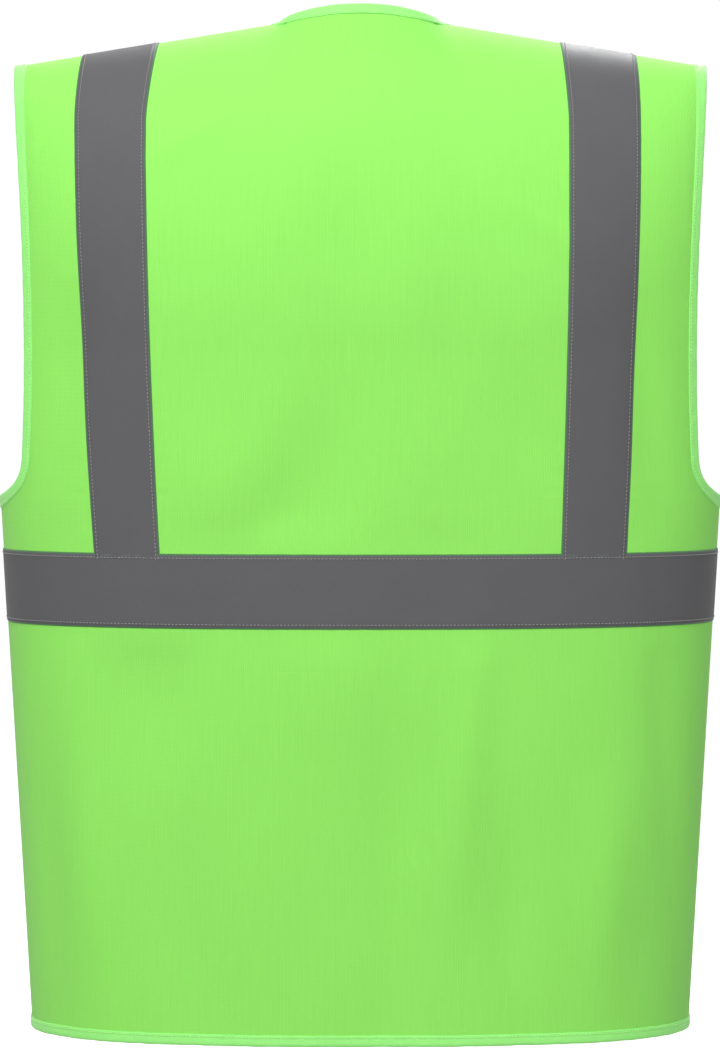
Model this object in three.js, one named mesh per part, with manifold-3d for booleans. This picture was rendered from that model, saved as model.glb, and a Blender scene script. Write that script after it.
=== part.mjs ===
// A zip-front high visibility waistcoat in its worn shape, in millimetres, +Z up.
// The wearer faces -Y, so the front is at -Y, the back at +Y, and +X is the wearer's left.
// Heights are counted up from the hem; the origin is between the shoulders, at the height
// where the neckline meets the shoulder line.
import * as THREE from "three";
import { mergeVertices } from "three/addons/utils/BufferGeometryUtils.js";
import Module from "manifold-3d";

const wasm = await Module();
wasm.setup();

// ---- driving dimensions: the worn shape --------------------------------------------------
const SHOULDER_HEIGHT = 714.5; // hem to the neck end of the shoulder line
const NECK_HALF_WIDTH = 57;
const SHOULDER_SLOPE = 0.163; // fall of the shoulder line for each millimetre outwards
const SHOULDER_TIP = 245; // half the shoulder width
const NECK_STAND = 60; // how steeply the cloth stands up towards the back of the neck
const NECK_SPREAD = 0.6; // how much wider that gets on the way down
const NECK_FADE = 1.9; // how soon it ends on the way down
const NECK_BACK_RISE = 10; // back neckline above the neck end of the shoulder line, at the middle
const BODY_HALF_WIDTH = 256; // at the underarm and above
const HEM_HALF_WIDTH = 234;
const UNDERARM_HEIGHT = 378;
const CHEST_HEIGHT = 480; // from here up, front and back are equally deep
const CHEST_DEPTH = 112; // from the shoulder plane to the chest or the back
const HEM_DEPTH_BACK = 125;
const HEM_DEPTH_FRONT = 130;
const DOME = 230; // height over which the chest and back curve in to the shoulder line
const DOME_LOSS = 100; // how much less that height is at the shoulder tip
const ROUNDNESS = 2.6; // exponent of the horizontal section; 2 is an ellipse
const V_HEIGHT = 478; // point of the V neck
const V_CURVE = 0.85; // 1 is a straight V
const ARMHOLE_CORNER = 0.1; // share of the armhole's height that its round bottom takes

// ---- driving dimensions: cloth, tape and trim ----------------------------------------------
const CLOTH = 1; // knitted polyester with its seam allowance
const TAPE = 0.6;
const LAYER_GAP = 0.8; // between sewn layers
const INNER_GAP = 1.7; // between the cloth and what is sewn on its inner face
const TAPE_WIDTH = 50;
const BRACE_BAND_X = 162; // middle of a brace where it meets the waist tape
const BRACE_BLADE_X = 173; // at the shoulder blade, where the braces are furthest apart
const BRACE_BLADE_HEIGHT = 643;
const BRACE_SHOULDER_LEAN = 5; // and how far they lean back in from there to the shoulder line
const BAND_BOTTOM = 291;
const BAND_TOP = BAND_BOTTOM + TAPE_WIDTH;
const BINDING_WIDTH = 7;
const BINDING_FOLD = 0.5; // from the cloth's edge to the inside of the binding's fold
const HEM_TURN = 1.2; // the cloth stops this far above the finished hem
const FRONT_EDGE = 6; // from the middle of the zip to the folded edge of a front
const SPLIT = THREE.MathUtils.degToRad(60); // where a front stops turning with its side seam
const SPLIT_GAP = THREE.MathUtils.degToRad(0.15);
const RIDGE_GAP = THREE.MathUtils.degToRad(0.3); // half the gap at the shoulder seam
const SEAM_SHARE = 0.004; // how near the side seam a panel comes, as a share of its depth

// ---- driving dimensions: pockets -----------------------------------------------------------
const LOWER_POCKET = { x: [28, 160], h: [45, 225] };
const LOWER_FLAP = { x: [24, 164], h: [180, 238] };
const LOWER_PATCH = { x: [69, 119], h: [188, 208] };
const PHONE_POCKET = { x: [28, 98], h: [360, 462] };
const PHONE_FLAP = { x: [25, 101], h: [424, 474] };
const PHONE_PATCH = { x: [50, 76], h: [430, 446] };
const PEN_POCKET = { x: [106, 134], h: [360, 458] };
const ID_POCKET = { x: [30, 134], h: [362, 458] };
const ID_BORDER = 8;
const LABEL = { x: [-26, 26], h: [686, 711] };
const PATCH_GAP = 0.6; // between stacked pocket layers
const FLAP_RAMP = 22; // height over which a flap lifts from its seam onto its pocket

// ---- driving dimensions: the zip, in its own frame (x across, -y outwards, z along it) --------
const ZIP_TOP = 476;
const ZIP_BOTTOM = 10.5;
const CHAIN_INSIDE = 0.8; // half the slit that the slider's post runs in
const CHAIN_OUTSIDE = 3.2;
const CHAIN_DEPTH = [-0.8, 2.2];
const ZIP_TAPE_X = [3.5, 16];
const ZIP_TAPE_DEPTH = [0.4, 1];
const SLIDER_Z = 461;
const PULL_LENGTH = 27;

const lime = new THREE.MeshStandardMaterial({ color: 0x96e768, roughness: 0.9 });
const trim = new THREE.MeshStandardMaterial({ color: 0xa6f29a, roughness: 0.85 });
const silver = new THREE.MeshStandardMaterial({ color: 0x7d7c80, roughness: 0.5, metalness: 0.1 });
const hookLoop = new THREE.MeshStandardMaterial({ color: 0x8fdc62, roughness: 1 });
const zipCloth = new THREE.MeshStandardMaterial({ color: 0x8edb5f, roughness: 0.9 });
const zipPlastic = new THREE.MeshStandardMaterial({ color: 0xa2e86e, roughness: 0.35 });
const zipMetal = new THREE.MeshStandardMaterial({ color: 0x9fdf70, roughness: 0.3, metalness: 0.4 });
const vinyl = new THREE.MeshStandardMaterial({ color: 0xe8f4f0, roughness: 0.1 });
const paleCloth = new THREE.MeshStandardMaterial({ color: 0xf1f3ee, roughness: 0.9 });

const vest = new THREE.Group();

// ---- the worn shape ------------------------------------------------------------------------
// A point of it has two angles. psi runs across: -90 and 90 degrees are the side seams, 0 the
// middle. eta runs down: 0 is the shoulder line, positive down the back, negative down the front.
const RIGHT_ANGLE = Math.PI / 2;
const mix = THREE.MathUtils.lerp;
const signedPower = (value, exponent) => Math.sign(value) * Math.abs(value) ** exponent;

const halfWidth = (height) =>
  mix(HEM_HALF_WIDTH, BODY_HALF_WIDTH, Math.min(1, height / UNDERARM_HEIGHT));

function depthAt(eta, height) {
  const hem = eta < 0 ? HEM_DEPTH_FRONT : HEM_DEPTH_BACK;
  return mix(hem, CHEST_DEPTH, Math.min(1, height / CHEST_HEIGHT));
}

function heightOf(x, eta) {
  const inside = Math.max(0, 1 - (x / NECK_HALF_WIDTH) ** 2);
  const outside = Math.max(0, Math.abs(x) - NECK_HALF_WIDTH);
  const shoulder = SHOULDER_HEIGHT + SHOULDER_SLOPE * ((NECK_HALF_WIDTH * inside) / 2 - outside);
  const dome = DOME - DOME_LOSS * (outside / (SHOULDER_TIP - NECK_HALF_WIDTH)) ** 2;
  const turned = Math.min(Math.abs(eta), RIGHT_ANGLE);
  const fall = dome * (1 - Math.cos(turned) + Math.abs(eta) - turned);
  const near = Math.max(0, 1 - (x / (NECK_HALF_WIDTH * (1 + NECK_SPREAD * turned))) ** 2);
  const stand = near ** 2 * Math.cos(Math.min(NECK_FADE * turned, RIGHT_ANGLE)) ** 2;
  return shoulder - fall + (eta > 0 ? NECK_STAND * stand : 0);
}

// the angle down at x and height on the back (side 1) or the front (side -1), found by halving
function etaOf(x, height, side) {
  let [low, high] = [0, 2 * Math.PI];
  for (let pass = 0; pass < 50; pass++) {
    const half = (low + high) / 2;
    if (heightOf(x, side * half) > height) low = half;
    else high = half;
  }
  return side * low;
}

const acrossAt = (psi, height) => halfWidth(height) * signedPower(Math.sin(psi), 2 / ROUNDNESS);

function psiOf(x, height) {
  const share = Math.min(1, Math.abs(x) / halfWidth(height));
  return Math.asin(share ** (ROUNDNESS / 2)) * Math.sign(x);
}

function shapePoint(psi, eta) {
  let height = CHEST_HEIGHT;
  let x = 0;
  for (let pass = 0; pass < 12; pass++) {
    x = acrossAt(psi, height);
    height = heightOf(x, eta);
  }
  const lean = Math.sin(Math.min(Math.abs(eta), RIGHT_ANGLE)) * (eta < 0 ? -1 : 1);
  const y = depthAt(eta, height) * signedPower(Math.cos(psi), 2 / ROUNDNESS) * lean;
  return new THREE.Vector3(x, y, height - SHOULDER_HEIGHT);
}

const NUDGE = 1e-4;
const slopeAcross = (psi, eta) =>
  shapePoint(psi + NUDGE, eta).sub(shapePoint(psi - NUDGE, eta)).divideScalar(2 * NUDGE);
const slopeDown = (psi, eta) =>
  shapePoint(psi, eta + NUDGE).sub(shapePoint(psi, eta - NUDGE)).divideScalar(2 * NUDGE);
const outward = (psi, eta) => slopeAcross(psi, eta).cross(slopeDown(psi, eta)).normalize();

// a point that stands off the shape by the given distance
const onShape = ([psi, eta], offset) => shapePoint(psi, eta).addScaledVector(outward(psi, eta), offset);

const anglesAt = (x, height, side) => [psiOf(x, height), etaOf(x, height, side)];

// moves along the shape by a short vector
function walk([psi, eta], vector) {
  const a = slopeAcross(psi, eta);
  const b = slopeDown(psi, eta);
  const [aa, ab, bb] = [a.dot(a), a.dot(b), b.dot(b)];
  const [va, vb] = [vector.dot(a), vector.dot(b)];
  const scale = aa * bb - ab * ab;
  return [psi + (va * bb - vb * ab) / scale, eta + (vb * aa - va * ab) / scale];
}

// ---- making bodies ---------------------------------------------------------------------------
function signedVolume(geometry) {
  const position = geometry.attributes.position;
  const index = geometry.index;
  const corner = [new THREE.Vector3(), new THREE.Vector3(), new THREE.Vector3()];
  let volume = 0;
  for (let i = 0; i < index.count; i += 3) {
    corner.forEach((c, k) => c.fromBufferAttribute(position, index.getX(i + k)));
    volume += corner[0].dot(corner[1].clone().cross(corner[2])) / 6;
  }
  return volume;
}

// a box whose grid points are moved onto the shape: place(u, v, w) takes whole steps, w is 0 or 1
function shaped(columns, rows, place) {
  const geometry = new THREE.BoxGeometry(1, 1, 1, columns, rows, 1);
  const position = geometry.attributes.position;
  for (let i = 0; i < position.count; i++) {
    const u = Math.round((position.getX(i) + 0.5) * columns);
    const v = Math.round((position.getY(i) + 0.5) * rows);
    const w = Math.round(position.getZ(i) + 0.5);
    position.setXYZ(i, ...place(u, v, w));
  }
  if (signedVolume(geometry) < 0) geometry.index.array.reverse();
  geometry.computeVertexNormals();
  return geometry;
}

function add(name, geometry, material, parent = vest) {
  const mesh = new THREE.Mesh(geometry, material);
  mesh.name = name;
  parent.add(mesh);
  return mesh;
}

function solid(geometry) {
  const bare = geometry.clone();
  for (const attribute of ["normal", "uv"]) bare.deleteAttribute(attribute);
  const merged = mergeVertices(bare, 1e-4);
  const vertProperties = new Float32Array(merged.attributes.position.array);
  const triVerts = new Uint32Array(merged.index.array);
  return new wasm.Manifold(new wasm.Mesh({ numProp: 3, vertProperties, triVerts }));
}

function geometryOf(manifold) {
  const mesh = manifold.getMesh();
  const geometry = new THREE.BufferGeometry();
  geometry.setAttribute("position", new THREE.BufferAttribute(mesh.vertProperties, 3));
  geometry.setIndex(new THREE.BufferAttribute(mesh.triVerts, 1));
  geometry.computeVertexNormals();
  return geometry;
}

// a box from its lowest to its highest corner
function block(x, y, z) {
  const geometry = new THREE.BoxGeometry(x[1] - x[0], y[1] - y[0], z[1] - z[0]);
  return geometry.translate((x[0] + x[1]) / 2, (y[0] + y[1]) / 2, (z[0] + z[1]) / 2);
}

// ---- rows, columns and edges of the panels -------------------------------------------------------
// rise runs up a panel: 0 hem, 1 underarm, 2 foot of the dome, 3 shoulder line or back neckline
const backNeckEta = (x) => {
  const inside = Math.max(0, 1 - (x / NECK_HALF_WIDTH) ** 2);
  return Math.max(RIDGE_GAP, etaOf(x, SHOULDER_HEIGHT + NECK_BACK_RISE * inside ** 0.9, 1));
};

function heightAt(rise, x, side) {
  if (rise <= 1) return mix(HEM_TURN, UNDERARM_HEIGHT, rise);
  if (rise <= 2) return mix(UNDERARM_HEIGHT, heightOf(x, RIGHT_ANGLE), rise - 1);
  const top = side > 0 && Math.abs(x) < NECK_HALF_WIDTH ? backNeckEta(x) : RIDGE_GAP;
  return heightOf(x, side * mix(RIGHT_ANGLE, top, rise - 2));
}

// how near the side seam the armhole comes, as a share of the depth
function armholeShare(height) {
  const span = heightOf(SHOULDER_TIP, 0) - UNDERARM_HEIGHT;
  const t = THREE.MathUtils.clamp((height - UNDERARM_HEIGHT) / span, 0, 1);
  const corner = (1 - (1 - Math.min(1, t / ARMHOLE_CORNER)) ** 3) ** (1 / 3);
  return Math.max(SEAM_SHARE, (0.51 + 0.19 * t - 0.28 * t * t) * corner);
}

const vNeckX = (height) => {
  const t = THREE.MathUtils.clamp((height - V_HEIGHT) / (SHOULDER_HEIGHT - V_HEIGHT), 0, 1);
  return mix(FRONT_EDGE, NECK_HALF_WIDTH, t ** V_CURVE);
};

// solves for the two angles at a given rise, where psiAt(height) is the angle across
function anglesAtRise(rise, side, psiAt) {
  let height = CHEST_HEIGHT;
  let psi = 0;
  for (let pass = 0; pass < 40; pass++) {
    psi = psiAt(height);
    height = mix(height, heightAt(rise, acrossAt(psi, height), side), 0.7);
  }
  return [psi, etaOf(acrossAt(psi, height), height, side)];
}

const sharePsi = (share) => Math.acos(share ** (ROUNDNESS / 2));
const armholePsi = (height) => sharePsi(armholeShare(height));
const frontEdgePsi = (height) => psiOf(vNeckX(height), height);

const NECK_COLUMNS = 4; // across half the back neck
const MIDDLE_COLUMNS = 11; // from the middle of the back, or from a front's edge, to KNEE
const SIDE_COLUMNS = 6; // from KNEE to the side seam or armhole
const KNEE = THREE.MathUtils.degToRad(60);
const NECK_PSI = psiOf(NECK_HALF_WIDTH, SHOULDER_HEIGHT);
const HALF_COLUMNS = MIDDLE_COLUMNS + SIDE_COLUMNS;

// angle of a column counted out from the middle of the back or from the edge of a front
function columnPsi(column, height, side) {
  if (column > MIDDLE_COLUMNS) {
    const knee = Math.cos(KNEE) ** (2 / ROUNDNESS);
    return sharePsi(mix(knee, armholeShare(height), (column - MIDDLE_COLUMNS) / SIDE_COLUMNS));
  }
  if (side < 0) return mix(frontEdgePsi(height), KNEE, (column / MIDDLE_COLUMNS) ** 1.5);
  if (column <= NECK_COLUMNS) return (NECK_PSI * column) / NECK_COLUMNS;
  return mix(NECK_PSI, KNEE, (column - NECK_COLUMNS) / (MIDDLE_COLUMNS - NECK_COLUMNS));
}

// the angles of a panel's grid point; turn is 1 on the wearer's left and -1 on the right
function panelAngles(column, rise, side, turn = 1) {
  const [psi, eta] = anglesAtRise(rise, side, (height) => columnPsi(Math.abs(column), height, side));
  return [(column < 0 ? -turn : turn) * psi, eta];
}

const V_RISE = 1 + (V_HEIGHT - UNDERARM_HEIGHT) / (heightOf(FRONT_EDGE, RIGHT_ANGLE) - UNDERARM_HEIGHT);
const CORNER_RISES = [1, 1.0009, 1.007, 1.023, 1.051, 1.097, 1.182, 1.4, 1.65, V_RISE, 2];
const riseOf = (degrees) => 3 - degrees / 90;
const SPLIT_RISE = 3 - SPLIT / RIGHT_ANGLE;
const GAP_RISE = SPLIT_GAP / RIGHT_ANGLE;
const CHEST_RISES = [80, 70].map(riseOf);
const CROWN_RISES = [50, 40, 30, 22, 14, 7, 0].map(riseOf);
const BACK_RISES = [0, ...CORNER_RISES, ...CHEST_RISES, SPLIT_RISE, ...CROWN_RISES];
const FRONT_RISES = [0, ...CORNER_RISES, ...CHEST_RISES, SPLIT_RISE - GAP_RISE];
const SHOULDER_RISES = [SPLIT_RISE + GAP_RISE, ...CROWN_RISES];

// ---- panels ------------------------------------------------------------------------------------
function backPanel() {
  return shaped(2 * HALF_COLUMNS, BACK_RISES.length - 1, (u, v, w) =>
    onShape(panelAngles(u - HALF_COLUMNS, BACK_RISES[v], 1), w * CLOTH));
}

function frontPanel(turn, rises) {
  return shaped(HALF_COLUMNS, rises.length - 1, (u, v, w) =>
    onShape(panelAngles(u, rises[v], -1, turn), w * CLOTH));
}

// ---- reflective tape ----------------------------------------------------------------------------
const TAPE_OFFSET = CLOTH + LAYER_GAP;
const tapeOffset = (w) => TAPE_OFFSET + w * TAPE;

function waistTape(firstColumn, lastColumn, side, turn) {
  const psiAt = (column) => (height) => columnPsi(Math.abs(column), height, side);
  return shaped(lastColumn - firstColumn, 1, (u, v, w) => {
    const column = firstColumn + u;
    const height = v ? BAND_TOP : BAND_BOTTOM;
    const psi = (column < 0 ? -turn : turn) * psiAt(column)(height);
    return onShape([psi, etaOf(acrossAt(psi, height), height, side)], tapeOffset(w));
  });
}

const BRACE_COLUMNS = 3;
const BRACE_FOOT = BAND_TOP + 1; // just above the waist tape
const BRACE_RISES = [1, 1.1, 1.4, 1.7, 2, ...CHEST_RISES];

function braceX(height, across) {
  const rise = THREE.MathUtils.clamp((height - BAND_TOP) / (BRACE_BLADE_HEIGHT - BAND_TOP), 0, 1);
  const top = Math.max(0, (height - BRACE_BLADE_HEIGHT) / (SHOULDER_HEIGHT - BRACE_BLADE_HEIGHT));
  const middle = mix(BRACE_BAND_X, BRACE_BLADE_X, rise * (1.5 - 0.5 * rise));
  return middle - BRACE_SHOULDER_LEAN * top ** 1.5 + (across - 0.5) * TAPE_WIDTH;
}

function brace(turn, side, rises) {
  return shaped(BRACE_COLUMNS, rises.length - 1, (u, v, w) => {
    const across = u / BRACE_COLUMNS;
    let angles = anglesAt(braceX(BRACE_FOOT, across), BRACE_FOOT, side);
    if (rises[v] > 1) {
      angles = anglesAtRise(rises[v], side, (height) => psiOf(braceX(height, across), height));
    }
    return onShape([turn * angles[0], angles[1]], tapeOffset(w));
  });
}

// ---- bindings --------------------------------------------------------------------------------------
// Each is a strip folded round an edge: [distance in from the edge, offset] on its inner and
// outer face.
const OUTER_LEG = CLOTH + 0.5;
const BINDING_SECTION = [
  [
    [BINDING_WIDTH, -INNER_GAP],
    [0, -INNER_GAP],
    [-BINDING_FOLD, CLOTH / 2],
    [0, OUTER_LEG],
    [BINDING_WIDTH, OUTER_LEG],
  ],
  [
    [BINDING_WIDTH, -INNER_GAP - TAPE],
    [0, -INNER_GAP - TAPE],
    [-BINDING_FOLD - TAPE, CLOTH / 2],
    [0, OUTER_LEG + TAPE],
    [BINDING_WIDTH, OUTER_LEG + TAPE],
  ],
];

// edge(s) gives the angles along an edge, and inside(angles) those of a point on its cloth, which
// says which side to fold over; square ends follow the shoulder line or the side seam
function binding(edge, stations, inside) {
  const along = (s) => {
    const [psi, eta] = edge(s);
    if (Math.abs(eta) < 2 * RIDGE_GAP) return slopeDown(psi, eta);
    if (Math.abs(psi) > sharePsi(2 * SEAM_SHARE)) return slopeAcross(psi, eta);
    return shapePoint(...edge(s + NUDGE)).sub(shapePoint(...edge(s - NUDGE)));
  };
  const sections = stations.map((s) => {
    const angles = edge(s);
    const inward = along(s).cross(outward(...angles)).normalize();
    const towards = shapePoint(...inside(angles)).sub(shapePoint(...angles));
    const distanceSign = Math.sign(inward.dot(towards));
    const at = ([distance, offset]) =>
      onShape(walk(angles, inward.clone().multiplyScalar(distanceSign * distance)), offset);
    return BINDING_SECTION.map((face) => face.map(at));
  });
  return shaped(stations.length - 1, BINDING_SECTION[0].length - 1, (u, v, w) => sections[u][w][v]);
}

const outside = ([psi, eta]) => [psi + 0.1 * Math.sign(psi || 1), eta];
const lowerMiddle = ([psi, eta]) => [0.8 * psi, eta + 0.05 * Math.sign(eta)];
const higher = ([psi, eta]) => [psi, 0.9 * eta];
const lowerOutside = ([psi, eta]) => [1.3 * psi, eta + 0.1];

// down the front neckline, s counted as rise
function frontNeckEdge(turn, s) {
  const [psi, eta] = anglesAtRise(s, -1, frontEdgePsi);
  return [turn * psi, eta];
}

// round the back neckline, s counted in the back panel's columns
function backNeckEdge(s) {
  const psi = (NECK_PSI * s) / NECK_COLUMNS;
  return [psi, backNeckEta(acrossAt(psi, SHOULDER_HEIGHT))];
}

// up the back armhole, over the shoulder and down the front; s runs 1, 3 at the shoulder, 5
function armholeEdge(turn, s) {
  const side = s <= 3 ? 1 : -1;
  const rise = THREE.MathUtils.clamp(side > 0 ? s : 6 - s, 1, 3);
  const [psi, eta] = anglesAtRise(rise, side, armholePsi);
  return [turn * psi, eta];
}

function hemEdge(side, turn, s) {
  const psi = turn * columnPsi(Math.abs(s), HEM_TURN, side) * (s < 0 ? -1 : 1);
  return [psi, etaOf(acrossAt(psi, HEM_TURN), HEM_TURN, side)];
}

const steps = (from, to, count) => Array.from({ length: count + 1 }, (_, i) => mix(from, to, i / count));

// ---- the garment ------------------------------------------------------------------------------------
const SIDES = [["left", 1], ["right", -1]];
add("back_panel", backPanel(), lime);
add("back_waist_tape", waistTape(-HALF_COLUMNS, HALF_COLUMNS, 1, 1), silver);
const neckStations = steps(-NECK_COLUMNS, NECK_COLUMNS, 2 * NECK_COLUMNS);
add("neck_binding_back", binding(backNeckEdge, neckStations, lowerOutside), trim);
const hemStations = steps(-HALF_COLUMNS, HALF_COLUMNS, 2 * HALF_COLUMNS);
add("hem_binding_back", binding((s) => hemEdge(1, 1, s), hemStations, higher), trim);
add("neck_label", patch(LABEL, 1, 1, [-INNER_GAP - TAPE, -INNER_GAP], 4, 2), paleCloth);

const OVER_SHOULDER = [3, 3 + 1e-6, ...SHOULDER_RISES.slice(0, -1).reverse().map((rise) => 6 - rise)];
const DOWN_FRONT = FRONT_RISES.slice(1).reverse();
for (const [name, turn] of SIDES) {
  add(`${name}_front_panel`, frontPanel(turn, FRONT_RISES), lime);
  add(`${name}_shoulder_panel`, frontPanel(turn, SHOULDER_RISES), lime);
  add(`${name}_waist_tape`, waistTape(0, HALF_COLUMNS, -1, turn), silver);
  add(`${name}_back_brace`, brace(turn, 1, [...BRACE_RISES, SPLIT_RISE, ...CROWN_RISES]), silver);
  add(`${name}_shoulder_brace`, brace(turn, -1, SHOULDER_RISES), silver);
  add(`${name}_front_brace`, brace(turn, -1, [...BRACE_RISES, SPLIT_RISE - GAP_RISE]), silver);
  const neck = (s) => frontNeckEdge(turn, s);
  const aboveV = DOWN_FRONT.filter((rise) => rise >= V_RISE);
  add(`${name}_neck_binding_upper`, binding(neck, SHOULDER_RISES, outside), trim);
  add(`${name}_neck_binding_lower`, binding(neck, aboveV, outside), trim);
  const armhole = (s) => armholeEdge(turn, s);
  const over = [...BACK_RISES.slice(1, -1), ...OVER_SHOULDER];
  add(`${name}_armhole_binding`, binding(armhole, over, lowerMiddle), trim);
  const under = DOWN_FRONT.map((rise) => 6 - rise);
  add(`${name}_armhole_binding_front`, binding(armhole, under, lowerMiddle), trim);
  const hem = (s) => hemEdge(-1, turn, s);
  add(`${name}_hem_binding`, binding(hem, steps(0, HALF_COLUMNS, HALF_COLUMNS), higher), trim);
}

// ---- pockets ----------------------------------------------------------------------------------------
// a sewn layer over a stretch of x and height, between two offsets; lift(height) may raise it
function patch(area, turn, side, offsets, columns, rows, lift = () => 0) {
  return shaped(columns, rows, (u, v, w) => {
    const x = mix(...area.x, u / columns);
    const height = mix(...area.h, v / rows);
    return onShape(anglesAt(turn * x, height, side), offsets[w] + lift(height));
  });
}

const POCKET_LAYER = [TAPE_OFFSET, TAPE_OFFSET + 0.8];
const above = (layer, thickness) => [layer[1] + PATCH_GAP, layer[1] + PATCH_GAP + thickness];
const LOOP_LAYER = above(POCKET_LAYER, 0.7);
const HOOK_LAYER = above(LOOP_LAYER, 0.7);
const FLAP_LIFT = HOOK_LAYER[1] + PATCH_GAP - POCKET_LAYER[0];

function pocketWithFlap(names, turn, pocket, flap, hold) {
  const lift = (height) => FLAP_LIFT * THREE.MathUtils.clamp((flap.h[1] - height) / FLAP_RAMP, 0, 1);
  add(names.pocket, patch(pocket, turn, -1, POCKET_LAYER, 6, 2), lime);
  add(names.loop, patch(hold, turn, -1, LOOP_LAYER, 3, 1), hookLoop);
  add(names.hook, patch(hold, turn, -1, HOOK_LAYER, 3, 1), hookLoop);
  add(names.flap, patch(flap, turn, -1, POCKET_LAYER, 6, 5, lift), lime);
}

for (const [name, turn] of SIDES) {
  const names = {
    pocket: `${name}_lower_pocket`,
    flap: `${name}_pocket_flap`,
    hook: `${name}_hook_patch`,
    loop: `${name}_loop_patch`,
  };
  pocketWithFlap(names, turn, LOWER_POCKET, LOWER_FLAP, LOWER_PATCH);
}
const phoneNames = {
  pocket: "phone_pocket",
  flap: "phone_flap",
  hook: "phone_hook_patch",
  loop: "phone_loop_patch",
};
pocketWithFlap(phoneNames, 1, PHONE_POCKET, PHONE_FLAP, PHONE_PATCH);
add("pen_pocket", patch(PEN_POCKET, 1, -1, POCKET_LAYER, 2, 2), lime);

const WINDOW_LAYER = [TAPE_OFFSET, TAPE_OFFSET + 0.3];
const idFrame = solid(patch(ID_POCKET, -1, -1, above(WINDOW_LAYER, 0.7), 6, 2));
const idHole = solid(block(
  [-ID_POCKET.x[1] + ID_BORDER, -ID_POCKET.x[0] - ID_BORDER],
  [-2 * CHEST_DEPTH, 0],
  [ID_POCKET.h[0] + ID_BORDER - SHOULDER_HEIGHT, ID_POCKET.h[1] - ID_BORDER - SHOULDER_HEIGHT],
));
add("id_pocket_window", patch(ID_POCKET, -1, -1, WINDOW_LAYER, 6, 2), vinyl);
add("id_pocket_frame", geometryOf(idFrame.subtract(idHole)), lime);

// ---- the zip ------------------------------------------------------------------------------------------
// its group stands on the hem at the middle of the front and leans with the cloth
const zip = new THREE.Group();
zip.position.set(0, -HEM_DEPTH_FRONT, -SHOULDER_HEIGHT);
zip.rotation.x = -Math.atan2(HEM_DEPTH_FRONT - CHEST_DEPTH, CHEST_HEIGHT);
vest.add(zip);

const CHAIN_START = 16;
const CHAIN_END = 468;
const PIN = { x: [0.9, 2.9], y: [-0.6, 2], z: [3.5, 15.5] };
const span = (turn, [a, b]) => (turn > 0 ? [a, b] : [-b, -a]);

for (const [name, turn] of SIDES) {
  const chainX = span(turn, [CHAIN_INSIDE, CHAIN_OUTSIDE]);
  const tape = block(span(turn, ZIP_TAPE_X), ZIP_TAPE_DEPTH, [ZIP_BOTTOM, ZIP_TOP]);
  add(`${name}_zip_tape`, tape, zipCloth, zip);
  add(`${name}_zip_chain`, block(chainX, CHAIN_DEPTH, [CHAIN_START, CHAIN_END]), zipPlastic, zip);
  const stopX = span(turn, [CHAIN_INSIDE + 0.4, CHAIN_OUTSIDE]);
  add(`${name}_top_stop`, block(stopX, CHAIN_DEPTH, [ZIP_TOP - 1.5, ZIP_TOP + 1]), zipMetal, zip);
}
add("insertion_pin", block(PIN.x, PIN.y, PIN.z), zipPlastic, zip);

// the box that holds the foot of the pin, open upwards
const box = solid(block([-4.5, 4.5], [-1.6, 3], [1.5, 10]));
const socket = solid(block([PIN.x[0] - 0.4, PIN.x[1] + 0.4], [PIN.y[0] - 0.4, PIN.y[1] + 0.4], [3, 11]));
add("retainer_box", geometryOf(box.subtract(socket)), zipPlastic, zip);

// two plates joined by a post between the chains, flanges that guide the chains, and a bridge
// for the pull
const PLATE_OUTLINE = [
  [-4.6, 0], [4.6, 0], [4.6, 6], [5.2, 9],
  [4.4, 13], [-4.4, 13], [-5.2, 9], [-4.6, 6],
];
const OUTER_PLATE = [-2.2, -1.2];
const INNER_PLATE = [2.6, 3.6];
const BAR_Z = 6.5; // the pull's bar, above the slider's foot
const BAR_Y = -3.4;

function plate(depths) {
  const shape = new THREE.Shape(PLATE_OUTLINE.map(([x, z]) => new THREE.Vector2(x, z)));
  const geometry = new THREE.ExtrudeGeometry(shape, { depth: depths[1] - depths[0], bevelEnabled: false });
  return geometry.rotateX(RIGHT_ANGLE).translate(0, depths[1], 0);
}

const sliderPieces = [
  plate(OUTER_PLATE),
  plate(INNER_PLATE),
  block([-0.5, 0.5], [-1.7, 3.1], [8, 12]),
  block([-0.8, 0.8], [-5.4, -1.7], [BAR_Z - 4, BAR_Z - 3]),
  block([-0.8, 0.8], [-5.4, -1.7], [BAR_Z + 3, BAR_Z + 4]),
  block([-0.8, 0.8], [-5.4, -4.4], [BAR_Z - 3.5, BAR_Z + 3.5]),
];
for (const [, turn] of SIDES) {
  sliderPieces.push(block(span(turn, [3.6, 4.6]), [-1.7, 0], [0, 6]));
  sliderPieces.push(block(span(turn, [3.6, 4.6]), [1.4, 3.1], [0, 6]));
}
const slider = sliderPieces.map(solid).reduce((whole, piece) => whole.add(piece));
add("zip_slider", geometryOf(slider), zipMetal, zip).position.z = SLIDER_Z;

// a flat tab that hangs from the bridge by a bar across its eye
const pullEye = [
  block([-3, 3], [-0.6, 0.6], [-0.6, 0.6]),
  block([-3, -1.4], [-0.6, 0.6], [-6, 0]),
  block([1.4, 3], [-0.6, 0.6], [-6, 0]),
  block([-3, 3], [-0.6, 0.6], [-PULL_LENGTH, -5.2]),
];
const pull = pullEye.map(solid).reduce((whole, piece) => whole.add(piece));
add("zip_pull", geometryOf(pull), zipMetal, zip).position.set(0, BAR_Y, SLIDER_Z + BAR_Z);

export default vest;
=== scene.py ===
import math

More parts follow.
